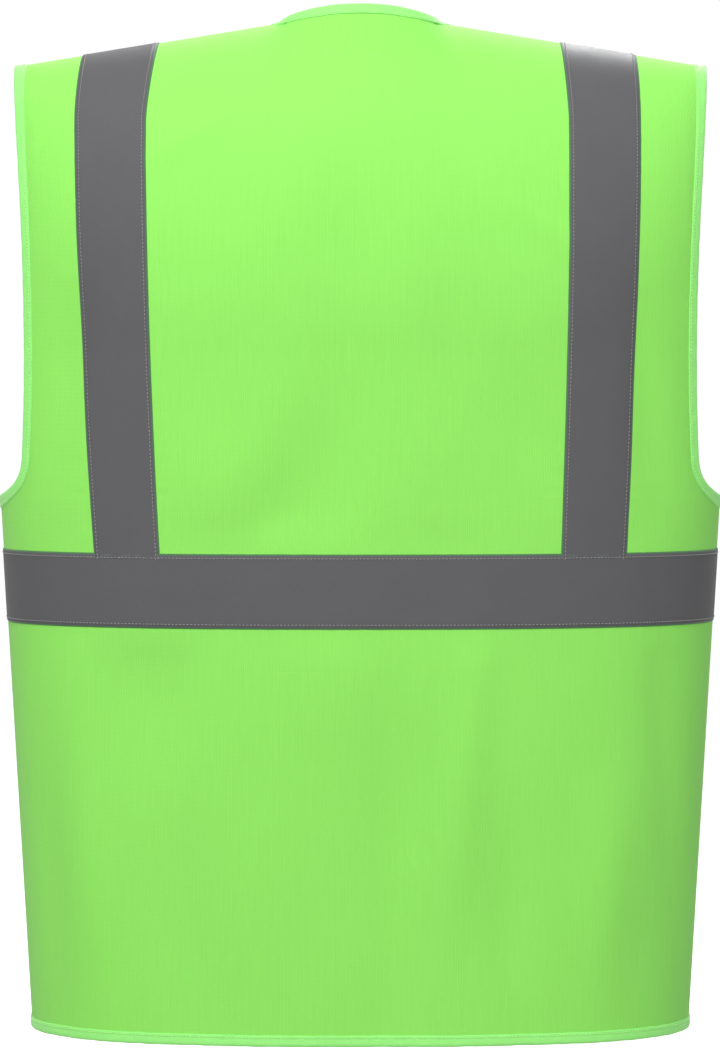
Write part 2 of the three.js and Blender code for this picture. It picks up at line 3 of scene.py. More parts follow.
import bmesh
import bpy
import numpy as np
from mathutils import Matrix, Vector


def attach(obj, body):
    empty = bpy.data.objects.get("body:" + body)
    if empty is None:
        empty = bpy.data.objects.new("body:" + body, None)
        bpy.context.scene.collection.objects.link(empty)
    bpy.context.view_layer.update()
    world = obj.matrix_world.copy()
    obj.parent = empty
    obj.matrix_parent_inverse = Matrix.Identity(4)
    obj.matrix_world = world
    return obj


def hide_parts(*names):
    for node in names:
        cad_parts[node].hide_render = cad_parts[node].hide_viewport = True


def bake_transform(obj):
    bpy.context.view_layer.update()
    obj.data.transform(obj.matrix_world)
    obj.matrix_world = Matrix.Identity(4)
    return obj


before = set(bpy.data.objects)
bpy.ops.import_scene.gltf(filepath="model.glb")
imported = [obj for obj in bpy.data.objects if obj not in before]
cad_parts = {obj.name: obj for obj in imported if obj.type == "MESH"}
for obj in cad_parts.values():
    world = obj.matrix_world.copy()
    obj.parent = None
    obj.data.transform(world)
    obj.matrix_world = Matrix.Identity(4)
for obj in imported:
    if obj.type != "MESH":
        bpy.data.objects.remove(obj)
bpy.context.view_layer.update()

MM = 0.001

# ---- the worn shape, in millimetres: the same formula as the CAD part's ----
SHOULDER_HEIGHT, NECK_HALF_WIDTH, SHOULDER_SLOPE, SHOULDER_TIP = 714.5, 57, 0.163, 245
NECK_STAND, NECK_SPREAD, NECK_FADE, NECK_BACK_RISE = 60, 0.6, 1.9, 10
BODY_HALF_WIDTH, HEM_HALF_WIDTH, UNDERARM_HEIGHT = 256, 234, 378
CHEST_HEIGHT, CHEST_DEPTH, HEM_DEPTH_BACK, HEM_DEPTH_FRONT = 480, 112, 125, 130
DOME, DOME_LOSS, ROUNDNESS = 230, 100, 2.6
V_HEIGHT, V_CURVE, ARMHOLE_CORNER, FRONT_EDGE, HEM_TURN = 478, 0.85, 0.1, 6, 1.2
BAND_BOTTOM, BAND_TOP, TAPE_WIDTH = 291, 341, 50
BRACE_BAND_X, BRACE_BLADE_X, BRACE_BLADE_HEIGHT, BRACE_SHOULDER_LEAN = 162, 173, 643, 5
RIDGE_GAP = math.radians(0.12)
KNEE = math.radians(60)
SEAM_SHARE = 0.0022
RIGHT_ANGLE = math.pi / 2


def mix(a, b, t):
    return a + (b - a) * t


def signed_power(value, exponent):
    return np.sign(value) * np.abs(value) ** exponent


def smoothstep(value, low, high):
    t = np.clip((value - low) / (high - low), 0, 1)
    return t * t * (3 - 2 * t)


def half_width(height):
    return mix(HEM_HALF_WIDTH, BODY_HALF_WIDTH, np.minimum(1, height / UNDERARM_HEIGHT))


def height_of(x, eta):
    inside = np.maximum(0, 1 - (x / NECK_HALF_WIDTH) ** 2)
    outside = np.maximum(0, np.abs(x) - NECK_HALF_WIDTH)
    shoulder = SHOULDER_HEIGHT + SHOULDER_SLOPE * (NECK_HALF_WIDTH * inside / 2 - outside)
    dome = DOME - DOME_LOSS * (outside / (SHOULDER_TIP - NECK_HALF_WIDTH)) ** 2
    turned = np.minimum(np.abs(eta), RIGHT_ANGLE)
    fall = dome * (1 - np.cos(turned) + np.abs(eta) - turned)
    near = np.maximum(0, 1 - (x / (NECK_HALF_WIDTH * (1 + NECK_SPREAD * turned))) ** 2)
    stand = near**2 * np.cos(np.minimum(NECK_FADE * turned, RIGHT_ANGLE)) ** 2
    return shoulder - fall + np.where(eta > 0, NECK_STAND * stand, 0)


def eta_of(x, height, side=1, passes=36):
    """The angle down at x and height on the back (side 1) or the front (side -1)."""
    x, height = np.broadcast_arrays(np.asarray(x, float), np.asarray(height, float))
    low, high = np.zeros_like(x), np.full_like(x, 2 * math.pi)
    for _ in range(passes):
        half = (low + high) / 2
        above = height_of(x, side * half) > height
        low, high = np.where(above, half, low), np.where(above, high, half)
    return side * low


def across_at(psi, height):
    return half_width(height) * signed_power(np.sin(psi), 2 / ROUNDNESS)


def psi_of(x, height):
    share = np.minimum(1, np.abs(x) / half_width(height))
    return np.arcsin(share ** (ROUNDNESS / 2)) * np.sign(x)


def shape_point(psi, eta):
    psi, eta = np.broadcast_arrays(np.asarray(psi, float), np.asarray(eta, float))
    height = np.full_like(psi, CHEST_HEIGHT)
    for _ in range(12):
        x = across_at(psi, height)
        height = height_of(x, eta)
    lean = np.sin(np.minimum(np.abs(eta), RIGHT_ANGLE)) * np.where(eta < 0, -1, 1)
    hem = np.where(eta < 0, HEM_DEPTH_FRONT, HEM_DEPTH_BACK)
    depth = mix(hem, CHEST_DEPTH, np.minimum(1, height / CHEST_HEIGHT))
    y = depth * signed_power(np.cos(psi), 2 / ROUNDNESS) * lean
    return np.stack([x, y, height - SHOULDER_HEIGHT], -1)


NUDGE = 1e-4


def slopes(psi, eta):
    across = shape_point(psi + NUDGE, eta) - shape_point(psi - NUDGE, eta)
    down = shape_point(psi, eta + NUDGE) - shape_point(psi, eta - NUDGE)
    return across / (2 * NUDGE), down / (2 * NUDGE)


def unit(vectors):
    return vectors / np.maximum(1e-12, np.linalg.norm(vectors, axis=-1, keepdims=True))


def walk(psi, eta, vector):
    """The angles of the point that lies a short vector away along the shape."""
    a, b = slopes(psi, eta)
    aa, ab, bb = (a * a).sum(-1), (a * b).sum(-1), (b * b).sum(-1)
    va, vb = (vector * a).sum(-1), (vector * b).sum(-1)
    scale = aa * bb - ab * ab
    return psi + (va * bb - vb * ab) / scale, eta + (vb * aa - va * ab) / scale


# ---- how the cloth falls: soft folds laid over that shape ----
# middle x, middle height, half length, half width, tilt in degrees (0 upright), depth (+ outwards)
BACK_FOLDS = [
    (-35, 515, 110, 24, 4, 1.6), (22, 410, 95, 26, -3, -2.0), (100, 392, 45, 34, 20, 1.8),
    (62, 362, 42, 22, -25, -1.7), (-113, 440, 60, 15, 22, -1.6), (205, 475, 60, 14, -6, -1.8),
    (-200, 440, 55, 13, 8, -1.6), (20, 633, 55, 95, 0, 2.5), (-60, 380, 60, 30, 12, 1.0),
    (144, 245, 55, 34, 10, -2.2), (17, 252, 60, 38, -6, 2.0), (-74, 200, 110, 15, -6, 2.0),
    (-21, 135, 130, 17, 0, -2.4), (-104, 85, 80, 18, 4, -2.2), (193, 150, 120, 16, 4, 2.0),
    (-172, 100, 95, 20, -5, 2.2), (75, 100, 110, 22, 5, 1.2), (118, 60, 80, 16, 4, -1.4),
    (-215, 180, 140, 12, 4, -1.6), (216, 90, 90, 10, 3, -1.4), (-140, 560, 40, 10, 55, 0.8),
    (120, 628, 36, 9, -60, 0.9),
]
FRONT_FOLDS = [
    (120, 520, 90, 26, 18, 2.0), (-115, 545, 95, 26, -16, 2.2), (185, 430, 90, 15, 6, -2.0),
    (-188, 420, 90, 15, -6, -2.0), (195, 150, 130, 16, 3, -2.2), (-192, 170, 130, 18, -3, -2.0),
    (80, 25, 60, 22, 0, 1.6), (-85, 20, 60, 22, 0, 1.8), (150, 260, 30, 40, 70, 0.8),
    (-70, 420, 70, 22, 12, -1.0),
]


FOLD_STRENGTH = 1.6


def ripple(distance, seed):
    """An uneven wave along a line, -1 to 1."""
    waves = np.sin(distance * 0.55 + seed) + np.sin(distance * 0.31 + 2.1 * seed)
    return (waves + 0.7 * np.sin(distance * 0.83 + 0.7 * seed)) / 2.7


def brace_levels(height):
    """How far up a brace is from the band to the blade, and from there to the shoulder."""
    rise = np.clip((height - BAND_TOP) / (BRACE_BLADE_HEIGHT - BAND_TOP), 0, 1)
    top = np.maximum(0, (height - BRACE_BLADE_HEIGHT) / (SHOULDER_HEIGHT - BRACE_BLADE_HEIGHT))
    return rise, top


def brace_middle(height, turn):
    rise, top = brace_levels(height)
    blade = BRACE_BLADE_X + 2 * turn
    return mix(BRACE_BAND_X, blade, rise * (1.5 - 0.5 * rise)) - (BRACE_SHOULDER_LEAN + 2 * turn) * top**1.5


def fold_depth(x, height, side):
    """How far the cloth stands off the plain shape; side is 1 on the back and -1 on the front."""
    total = np.zeros_like(x)
    for folds, here in ((BACK_FOLDS, side > 0), (FRONT_FOLDS, side < 0)):
        for fx, fh, length, width, tilt, depth in folds:
            a = math.radians(tilt)
            along = (height - fh) * math.cos(a) + (x - fx) * math.sin(a)
            across = (x - fx) * math.cos(a) - (height - fh) * math.sin(a)
            bump = np.exp(-((across / width) ** 2) - (along / length) ** 2)
            total = total + np.where(here, FOLD_STRENGTH * depth * bump, 0)
    total = total + 0.5 * np.sin(x * 0.043 + height * 0.011 + side) * np.sin(height * 0.031 + x * 0.009)
    band_gap = np.maximum(0, np.maximum(BAND_BOTTOM - height, height - BAND_TOP))
    total = total * mix(0.45, 1, smoothstep(band_gap, 0, 30))
    total = total + 0.28 * ripple(x, 3.1) * np.exp(-band_gap / 7) * (band_gap > 0)
    brace_gap = np.abs(np.abs(x) - brace_middle(height, np.sign(x))) - TAPE_WIDTH / 2
    pucker = ripple(height, 1.7 + np.sign(x)) * np.exp(-np.maximum(0, brace_gap) / 6)
    total = total + 0.3 * pucker * (brace_gap > 0) * (height > BAND_TOP)
    edge = np.clip(1 - (np.abs(x) / half_width(height)) ** 10, 0, 1)
    shoulder = SHOULDER_HEIGHT - SHOULDER_SLOPE * np.maximum(0, np.abs(x) - NECK_HALF_WIDTH)
    total = total * edge * smoothstep(shoulder - height, 4, 70)
    return total * np.where(side < 0, smoothstep(np.abs(x), 14, 60), 1)


def on_shape(psi, eta, offset):
    """Points that stand off the folded shape by offset, in millimetres."""
    psi, eta = np.broadcast_arrays(np.asarray(psi, float), np.asarray(eta, float))
    across, down = slopes(psi, eta)
    normal = unit(np.cross(across, down))
    point = shape_point(psi, eta)
    side = np.where(eta < 0, -1.0, 1.0)
    lift = offset + fold_depth(point[..., 0], point[..., 2] + SHOULDER_HEIGHT, side)
    return point + normal * lift[..., None]


# ---- rows, columns and edges of the panels ----
# rise runs up a panel: 0 hem, 1 underarm, 2 foot of the dome, 3 shoulder line or back neckline
def back_neck_eta(x):
    inside = np.maximum(0, 1 - (x / NECK_HALF_WIDTH) ** 2)
    found = eta_of(x, SHOULDER_HEIGHT + NECK_BACK_RISE * inside**0.9, 1, 28)
    return np.maximum(RIDGE_GAP, found)


def height_at(rise, x, side):
    low = mix(HEM_TURN, UNDERARM_HEIGHT, rise)
    middle = mix(UNDERARM_HEIGHT, height_of(x, RIGHT_ANGLE), rise - 1)
    top = RIDGE_GAP
    if side > 0:
        top = np.where(np.abs(x) < NECK_HALF_WIDTH, back_neck_eta(x), RIDGE_GAP)
    up = np.clip(rise - 2, 0, 1)
    high = height_of(x, side * (mix(RIGHT_ANGLE, RIDGE_GAP, up) + (top - RIDGE_GAP) * up**3))
    return np.where(rise <= 1, low, np.where(rise <= 2, middle, high))


def armhole_share(height):
    span = height_of(SHOULDER_TIP, 0) - UNDERARM_HEIGHT
    t = np.clip((height - UNDERARM_HEIGHT) / span, 0, 1)
    corner = (1 - (1 - np.minimum(1, t / ARMHOLE_CORNER)) ** 3) ** (1 / 3)
    return np.maximum(SEAM_SHARE, (0.51 + 0.19 * t - 0.28 * t * t) * corner)


def v_neck_x(height):
    t = np.clip((height - V_HEIGHT) / (SHOULDER_HEIGHT - V_HEIGHT), 0, 1)
    return mix(FRONT_EDGE, NECK_HALF_WIDTH, t**V_CURVE)


def share_psi(share):
    return np.arccos(share ** (ROUNDNESS / 2))


def armhole_psi(height):
    return share_psi(armhole_share(height))


def front_edge_psi(height):
    return psi_of(v_neck_x(height), height)


def angles_at_rise(rise, side, psi_at):
    rise = np.asarray(rise, float)
    height = np.full_like(rise, CHEST_HEIGHT)
    for _ in range(32):
        psi = psi_at(height)
        height = mix(height, height_at(rise, across_at(psi, height), side), 0.7)
    return psi, eta_of(across_at(psi, height), height, side)


def panel_psi(t, height, side):
    """The angle across at t, 0 in the middle or at the front edge, 1 at the side seam or armhole."""
    knee = math.cos(KNEE) ** (2 / ROUNDNESS)
    inner_share = 0.66
    out = np.clip((t - inner_share) / (1 - inner_share), 0, 1)
    outer = share_psi(mix(knee, armhole_share(height), out))
    start = front_edge_psi(height) if side < 0 else 0
    inner = mix(start, KNEE, np.clip(t / inner_share, 0, 1))
    return np.where(t > inner_share, outer, inner)


def panel_angles(t, rise, side):
    psi, eta = angles_at_rise(rise, side, lambda height: panel_psi(np.abs(t), height, side))
    return np.where(t < 0, -psi, psi), eta


V_RISE = 1 + (V_HEIGHT - UNDERARM_HEIGHT) / (height_of(FRONT_EDGE, RIGHT_ANGLE) - UNDERARM_HEIGHT)
RISES = np.concatenate([
    np.linspace(0, 1, 104)[:-1],
    1 + np.linspace(0, 1, 44)[:-1] ** 2.2,
    np.linspace(2, 3, 76),
])


# ---- meshes ----
def lay_uv(mesh, uv):
    """uv is a place on the cloth in millimetres for each vertex; the layer holds metres."""
    layer = mesh.uv_layers.new(name="cloth")
    corners = np.empty(len(mesh.loops), np.int32)
    mesh.loops.foreach_get("vertex_index", corners)
    layer.data.foreach_set("uv", (np.asarray(uv) * MM)[corners].astype(np.float32).ravel())


def link_object(name, mesh):
    thing = bpy.data.objects.new(name, mesh)
    bpy.context.scene.collection.objects.link(thing)
    return thing


def make_object(name, points, faces, material, uv=None, sharp=40):
    """An object from points and uv in millimetres."""
    mesh = bpy.data.meshes.new(name)
    mesh.from_pydata((np.asarray(points) * MM).tolist(), [], np.asarray(faces).tolist())
    if uv is not None:
        lay_uv(mesh, uv)
    mesh.validate()
    mesh.shade_smooth()
    mesh.set_sharp_from_angle(angle=math.radians(sharp))
    for entry in material if isinstance(material, list) else [material]:
        mesh.materials.append(entry)
    return link_object(name, mesh)


def grid_faces(rows, columns, start=0, wrap=False):
    r, c = np.meshgrid(np.arange(rows - 1), np.arange(columns if wrap else columns - 1), indexing="ij")
    c2 = (c + 1) % columns
    corner = [r * columns + c, r * columns + c2, (r + 1) * columns + c2, (r + 1) * columns + c]
    return np.stack([x.ravel() + start for x in corner], 1)


def border(rows, columns):
    r, c = np.arange(rows), np.arange(columns)
    right, left = r[1:] * columns + columns - 1, r[-2:0:-1] * columns
    return np.concatenate([c, right, (rows - 1) * columns + c[-2::-1], left])


def volume(points, faces):
    a, b, c, d = (points[faces[:, k]] for k in range(4))
    halves = np.einsum("ij,ij->i", a, np.cross(b, c)) + np.einsum("ij,ij->i", a, np.cross(c, d))
    return halves.sum() / 6


def cloth_uv(points):
    """Distances across and up the cloth, which carry the weave."""
    across = np.linalg.norm(np.diff(points, axis=1), axis=-1)
    up = np.linalg.norm(np.diff(points, axis=0), axis=-1)
    u = np.concatenate([np.zeros((len(points), 1)), np.cumsum(across, 1)], 1)
    middle = points.shape[1] // 2
    u = u - u[:, middle:middle + 1]
    v = np.concatenate([np.zeros((1, points.shape[1])), np.cumsum(up, 0)], 0)
    return np.stack([u, v], -1).reshape(-1, 2)


def sheet_body(name, outer, inner, material, uv=None, sharp=40):
    """Closes an outer and an inner grid of points into one thin body."""
    rows, columns = outer.shape[:2]
    points = np.concatenate([outer.reshape(-1, 3), inner.reshape(-1, 3)])
    top = grid_faces(rows, columns)
    under = top[:, ::-1] + rows * columns
    rim = border(rows, columns)
    after = np.roll(rim, -1)
    side = np.stack([after, rim, rim + rows * columns, after + rows * columns], 1)
    faces = np.concatenate([top, under, side])
    if volume(points, faces) < 0:
        faces = faces[:, ::-1]
    coords = cloth_uv(outer) if uv is None else uv
    return make_object(name, points, faces, material, np.concatenate([coords, coords]), sharp)


# ---- materials ----
class Paint:
    """A node material around one Principled shader."""

    def __init__(self, name, color, roughness, **sockets):
        self.material = bpy.data.materials.new(name)
        self.material.use_nodes = True
        self.tree = self.material.node_tree
        self.shader = self.tree.nodes["Principled BSDF"]
        self.shader.inputs["Base Color"].default_value = (*color, 1)
        self.shader.inputs["Roughness"].default_value = roughness
        self.color = color
        for socket, value in sockets.items():
            self.shader.inputs[socket.replace("_", " ")].default_value = value
        self.uv = self.add("ShaderNodeUVMap")
        self.uv.uv_map = "cloth"

    def add(self, kind, **values):
        made = self.tree.nodes.new(kind)
        for key, value in values.items():
            if key in made.inputs:
                made.inputs[key].default_value = value
            else:
                setattr(made, key, value)
        return made

    def link(self, source, target):
        self.tree.links.new(source, target)

    def math(self, operation, a, b=None):
        made = self.add("ShaderNodeMath", operation=operation)
        for slot, value in enumerate((a, b)):
            if value is None:
                continue
            if isinstance(value, (int, float)):
                made.inputs[slot].default_value = value
            else:
                self.link(value, made.inputs[slot])
        return made.outputs[0]

    def scaled(self, x, y):
        made = self.add("ShaderNodeMapping")
        made.inputs["Scale"].default_value = (x, y, 1)
        self.link(self.uv.outputs[0], made.inputs["Vector"])
        return made.outputs[0]

    def noise(self, x, y, detail=2.0):
        made = self.add("ShaderNodeTexNoise", Scale=1.0, Detail=detail)
        self.link(self.scaled(x, y), made.inputs["Vector"])
        return made.outputs[0]

    def split(self, x, y):
        made = self.add("ShaderNodeSeparateXYZ")
        self.link(self.scaled(x, y), made.inputs[0])
        return made.outputs[0], made.outputs[1]

    def bump(self, height, distance, strength=1.0):
        made = self.add("ShaderNodeBump", Strength=strength, Distance=distance)
        self.link(height, made.inputs["Height"])
        self.link(made.outputs[0], self.shader.inputs["Normal"])

    def vary(self, factor, dark, light):
        """Base colour between color x dark and color x light by factor."""
        made = self.add("ShaderNodeMix", data_type="RGBA")
        made.inputs[6].default_value = (*[min(1, c * dark) for c in self.color], 1)
        made.inputs[7].default_value = (*[min(1, c * light) for c in self.color], 1)
        self.link(factor, made.inputs[0])
        self.link(made.outputs[2], self.shader.inputs["Base Color"])


def knit(name, color, wale=1.25, course=0.9):
    """Warp knit: upright ribs of small loops, with uneven yarn."""
    paint = Paint(name, color, 0.85, Sheen_Weight=0.1, Sheen_Roughness=0.5, Specular_IOR_Level=0.1)
    across, up = paint.split(math.pi * 1000 / wale, 2 * math.pi * 1000 / course)
    rib = paint.math("ABSOLUTE", paint.math("SINE", across))
    slant = paint.math("MULTIPLY", paint.math("COSINE", paint.math("MULTIPLY", across, 2)), 1.3)
    loop = paint.math("SINE", paint.math("ADD", up, slant))
    streak = paint.noise(900, 26, 3)
    height = paint.math("ADD", rib, paint.math("MULTIPLY", loop, 0.35))
    height = paint.math("ADD", height, paint.math("MULTIPLY", streak, 1.1))
    paint.bump(height, 0.0002, 0.45)
    blotch = paint.math("MULTIPLY", streak, 0.7)
    blotch = paint.math("ADD", blotch, paint.math("MULTIPLY", paint.noise(14, 9), 0.3))
    paint.vary(blotch, 0.93, 1.06)
    return paint.material


def woven(name, color, pitch, roughness=0.75, slant=0.0, sheen=0.2, depth=0.00012):
    """A plain weave of crossing threads; slant turns it for bias tape."""
    paint = Paint(name, color, roughness, Sheen_Weight=sheen, Sheen_Roughness=0.4)
    turn = paint.add("ShaderNodeMapping")
    turn.inputs["Rotation"].default_value = (0, 0, math.radians(slant))
    scale = math.pi * 1000 / pitch
    turn.inputs["Scale"].default_value = (scale, scale, 1)
    paint.link(paint.uv.outputs[0], turn.inputs["Vector"])
    parts = paint.add("ShaderNodeSeparateXYZ")
    paint.link(turn.outputs[0], parts.inputs[0])
    over = paint.math("MULTIPLY", *[paint.math("SINE", parts.outputs[k]) for k in (0, 1)])
    fuzz = paint.noise(1500, 1500, 2)
    paint.bump(paint.math("ADD", over, paint.math("MULTIPLY", fuzz, 0.6)), depth, 0.7)
    paint.vary(paint.noise(60, 60, 3), 0.94, 1.05)
    return paint.material


def glass_bead_tape():
    grey = (0.098, 0.098, 0.102)
    paint = Paint("reflective_tape", grey, 0.55, Sheen_Weight=0.02, Specular_IOR_Level=0.06)
    beads = paint.add("ShaderNodeTexVoronoi", Scale=1.0)
    paint.link(paint.scaled(4200, 4200), beads.inputs["Vector"])
    across, up = paint.split(math.pi * 1000 / 0.8, math.pi * 1000 / 0.8)
    weave = paint.math("MULTIPLY", paint.math("SINE", across), paint.math("SINE", up))
    height = paint.math("ADD", beads.outputs["Distance"], paint.math("MULTIPLY", weave, 0.7))
    paint.bump(height, 0.00006, 0.8)
    blotch = paint.math("MULTIPLY", paint.noise(35, 20, 4), 0.6)
    blotch = paint.math("ADD", blotch, paint.math("MULTIPLY", paint.noise(900, 900, 2), 0.4))
    paint.vary(blotch, 0.92, 1.09)
    rough = paint.add("ShaderNodeMapRange")
    rough.inputs["To Min"].default_value, rough.inputs["To Max"].default_value = 0.42, 0.6
    paint.link(blotch, rough.inputs["Value"])
    paint.link(rough.outputs[0], paint.shader.inputs["Roughness"])
    return paint.material


CLOTH = knit("fluorescent_knit", (0.25, 0.70, 0.11))
BINDING = woven("binding", (0.27, 0.78, 0.17), 0.55, 0.7, 45)
TAPE = glass_bead_tape()
# the tape's backing, dark green-grey; where it shows at the tape's cut edges it is painted shade, standing
# in for the shadow along those edges
BACKING_AND_EDGE_SHADE = woven("tape_backing_and_edge_shade", (0.05, 0.16, 0.055), 0.5, 0.85)
THREAD_GREY = woven("grey_thread", (0.27, 0.27, 0.265), 0.35, 0.6)
THREAD_LIME = woven("lime_thread", (0.42, 0.93, 0.24), 0.35, 0.6)
LOOP = woven("loop_pile", (0.27, 0.78, 0.12), 0.7, 0.95, 20, 0.6, 0.0004)
HOOK = woven("hook_pile", (0.25, 0.70, 0.11), 1.4, 0.6, 0, 0.1, 0.0006)
ZIP_TAPE = woven("zip_tape", (0.28, 0.80, 0.12), 0.6, 0.8)
LABEL = woven("label_satin", (0.86, 0.87, 0.84), 0.3, 0.45, 0, 0.3)


def smooth_paint(name, color, roughness, **sockets):
    paint = Paint(name, color, roughness, **sockets)
    grain = paint.add("ShaderNodeTexNoise", Scale=900.0, Detail=3.0)
    place = paint.add("ShaderNodeTexCoord")
    paint.link(place.outputs["Object"], grain.inputs["Vector"])
    paint.bump(grain.outputs[0], 0.00003, 0.5)
    wear = paint.add("ShaderNodeTexNoise", Scale=120.0, Detail=4.0)
    paint.link(place.outputs["Object"], wear.inputs["Vector"])
    paint.vary(wear.outputs[0], 0.94, 1.05)
    return paint.material


PLASTIC = smooth_paint("zip_plastic", (0.33, 0.87, 0.15), 0.32)
METAL = smooth_paint("zip_metal", (0.30, 0.80, 0.14), 0.28, Metallic=0.25, Coat_Weight=0.4)
VINYL = smooth_paint("clear_window", (0.95, 0.98, 0.96), 0.08, Transmission_Weight=0.0, Alpha=0.13)


# ---- cloth pieces ----
NAMES = {1: "left", -1: "right"}
CLOTH_TOP, CLOTH_UNDER = 1.0, 0.45
KNIT_SLOT, TAPE_SLOT = "fluorescent_knit", "reflective_tape"


def front_body(turn):
    return f"{NAMES[turn]}_front"


def hold(piece, body, replaced=(), bend=False):
    """Puts a piece on its body; a piece marked to bend is put on no body and stays unparented, with its
    placement baked into its mesh.
    """
    if bend:
        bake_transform(piece)
    else:
        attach(piece, body)
    if replaced:
        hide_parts(*replaced)
    return piece


def seam_dip(psi):
    """The cloth turns in over the last few millimetres at the side seam."""
    near_seam = 0.99994
    return -0.9 * np.clip((np.abs(np.sin(psi)) - near_seam) / (1 - near_seam), 0, 1) ** 2


def panel(name, side, turn, t):
    grid_t, grid_rise = np.meshgrid(t, RISES)
    psi, eta = panel_angles(grid_t, grid_rise, side)
    psi = psi if side > 0 else turn * psi
    dip = seam_dip(psi)
    outer, inner = on_shape(psi, eta, CLOTH_TOP + dip), on_shape(psi, eta, CLOTH_UNDER + dip)
    return sheet_body(name, outer, inner, CLOTH)


half = np.linspace(0, 1, 106)
back_cloth = panel("back_cloth", 1, 1, np.concatenate([-half[:0:-1], half]))
hold(back_cloth, "root", ["back_panel"])
front_cloth = {}
for turn, name in NAMES.items():
    front_cloth[turn] = panel(f"{name}_front_cloth", -1, turn, half)
    hold(front_cloth[turn], front_body(turn),
         [f"{name}_front_panel", f"{name}_shoulder_panel"], bend=True)


# ---- reflective tape ----
TAPE_UNDER, TAPE_OVER = 1.05, 1.7
TAPE_EDGE = 1.0  # width of the cut edge, where the tape's dark backing shows; its dark colour there is painted shade, standing in for the shadow line along the tape's edges


def tape_strip(name, place, length_steps, width_steps=14):
    """place(s, across, offset) gives points: s along, across 0 to 1 with the cut edges outside that."""
    edge = TAPE_EDGE / TAPE_WIDTH
    inside = np.linspace(0, 1, width_steps)
    across = np.concatenate([[-edge, -edge * 0.5], inside, [1 + edge * 0.5, 1 + edge]])
    over = np.concatenate([[1.12, 1.35], np.full(width_steps, TAPE_OVER), [1.35, 1.12]])
    grid_s, grid_a = np.meshgrid(np.linspace(0, 1, length_steps), across, indexing="ij")
    outer = place(grid_s, grid_a, over[None, :] + np.zeros_like(grid_s))
    inner = place(grid_s, grid_a, np.full_like(grid_s, TAPE_UNDER))
    piece = sheet_body(name, outer, inner, [TAPE, BACKING_AND_EDGE_SHADE], sharp=60)
    columns = len(across)
    # the underside and the cut edge strips take the dark backing; on the cut edges it is painted shade
    # along the tape's edges
    for number, polygon in enumerate(piece.data.polygons):
        column = number % (columns - 1)
        outer_face = number < (length_steps - 1) * (columns - 1)
        if not outer_face or column in (0, 1, columns - 3, columns - 2):
            polygon.material_index = 1
    return piece


def band_sag(t, side):
    """The band hangs a little lower in the middle of the back."""
    return -1.7 * (1 - np.abs(t) ** 1.5) * (side > 0)


def row_angles(side, lo, hi, s, level):
    """Angles at s on a row from lo to hi across a panel; level(t) is its height."""
    t = mix(lo, hi, np.asarray(s, float))
    height = level(t)
    psi = np.where(t < 0, -1, 1) * panel_psi(np.abs(t), height, side)
    psi = np.copysign(psi, hi) if side < 0 else psi
    return psi, eta_of(across_at(psi, height), height, side)


def band_angles(side, lo, hi, s, across):
    return row_angles(
        side, lo, hi, s, lambda t: mix(BAND_BOTTOM, BAND_TOP, across) + band_sag(t, side))


def band_place(side, lo, hi):
    def place(s, across, offset):
        psi, eta = band_angles(side, lo, hi, s, across)
        return on_shape(psi, eta, offset + seam_dip(psi))
    return place


BRACE_WIDTHS = (44.5, 49, 53)  # as seen from behind: at the band, at the blade, at the shoulder
BRACE_LAP = 4  # how far a brace runs under the waist band
BRACE_RISE = (BAND_TOP - BRACE_LAP - HEM_TURN) / (UNDERARM_HEIGHT - HEM_TURN)
BRACE_LOW = 0.06  # the share of a brace's length that is below the underarm


def brace_x(height, across, turn):
    low, blade, shoulder = BRACE_WIDTHS
    rise, top = brace_levels(height)
    width = mix(low, blade, rise) + (shoulder - blade) * top
    return brace_middle(height, turn) + (across - 0.5) * width


def brace_angles(turn, side, rise, across):
    foot = BAND_TOP - BRACE_LAP
    low_psi = psi_of(brace_x(foot, across, turn), foot)
    low_eta = eta_of(brace_x(foot, across, turn), foot, side)
    psi, eta = angles_at_rise(rise, side, lambda height: psi_of(brace_x(height, across, turn), height))
    lowest = rise < BRACE_RISE
    return turn * np.where(lowest, low_psi, psi), np.where(lowest, low_eta, eta)


def brace_rise(s, top):
    above = mix(1, top, (s - BRACE_LOW) / (1 - BRACE_LOW))
    return np.where(s < BRACE_LOW, mix(BRACE_RISE, 1, s / BRACE_LOW), above)


def brace_place(turn, side):
    def place(s, across, offset):
        psi, eta = brace_angles(turn, side, brace_rise(s, 3), across)
        return on_shape(psi, eta, offset)
    return place


back_band = tape_strip("back_band", band_place(1, -1, 1), 190)
hold(back_band, "root", ["back_waist_tape"])
front_bands = {}
for turn, name in NAMES.items():
    front_bands[turn] = tape_strip(f"{name}_front_band", band_place(-1, 0.0, float(turn)), 96)
    hold(front_bands[turn], front_body(turn), [f"{name}_waist_tape"])
for turn, name in NAMES.items():
    piece = tape_strip(f"{name}_brace_back", brace_place(turn, 1), 150)
    hold(piece, "root", [f"{name}_back_brace"])
    piece = tape_strip(f"{name}_brace_front", brace_place(turn, -1), 150)
    hold(piece, front_body(turn),
                            [f"{name}_shoulder_brace", f"{name}_front_brace"], bend=True)


# ---- bindings ----
# the section of a binding: (distance in from the edge, offset), round its outside and back inside
BINDING_OUT = [
    (6.9, 1.15), (6.6, 1.55), (6.0, 1.72), (4.8, 1.62), (3.4, 1.85), (1.8, 2.05), (0.6, 2.1),
    (-0.4, 1.95), (-1.05, 1.3), (-1.25, 0.5), (-1.0, -0.35), (-0.3, -1.0), (0.8, -1.25),
    (3.0, -1.2), (5.5, -1.0), (6.6, -0.85),
]
BINDING_IN = [
    (6.9, 0.95), (6.5, 1.02), (6.0, 1.05), (4.8, 1.05), (3.4, 1.05), (1.8, 1.12), (0.6, 1.2), (0.1, 1.1),
    (-0.2, 0.9), (-0.3, 0.5), (-0.2, 0.1), (0.2, -0.15), (0.9, -0.3), (3.0, -0.3), (5.5, -0.3), (6.6, -0.3),
]


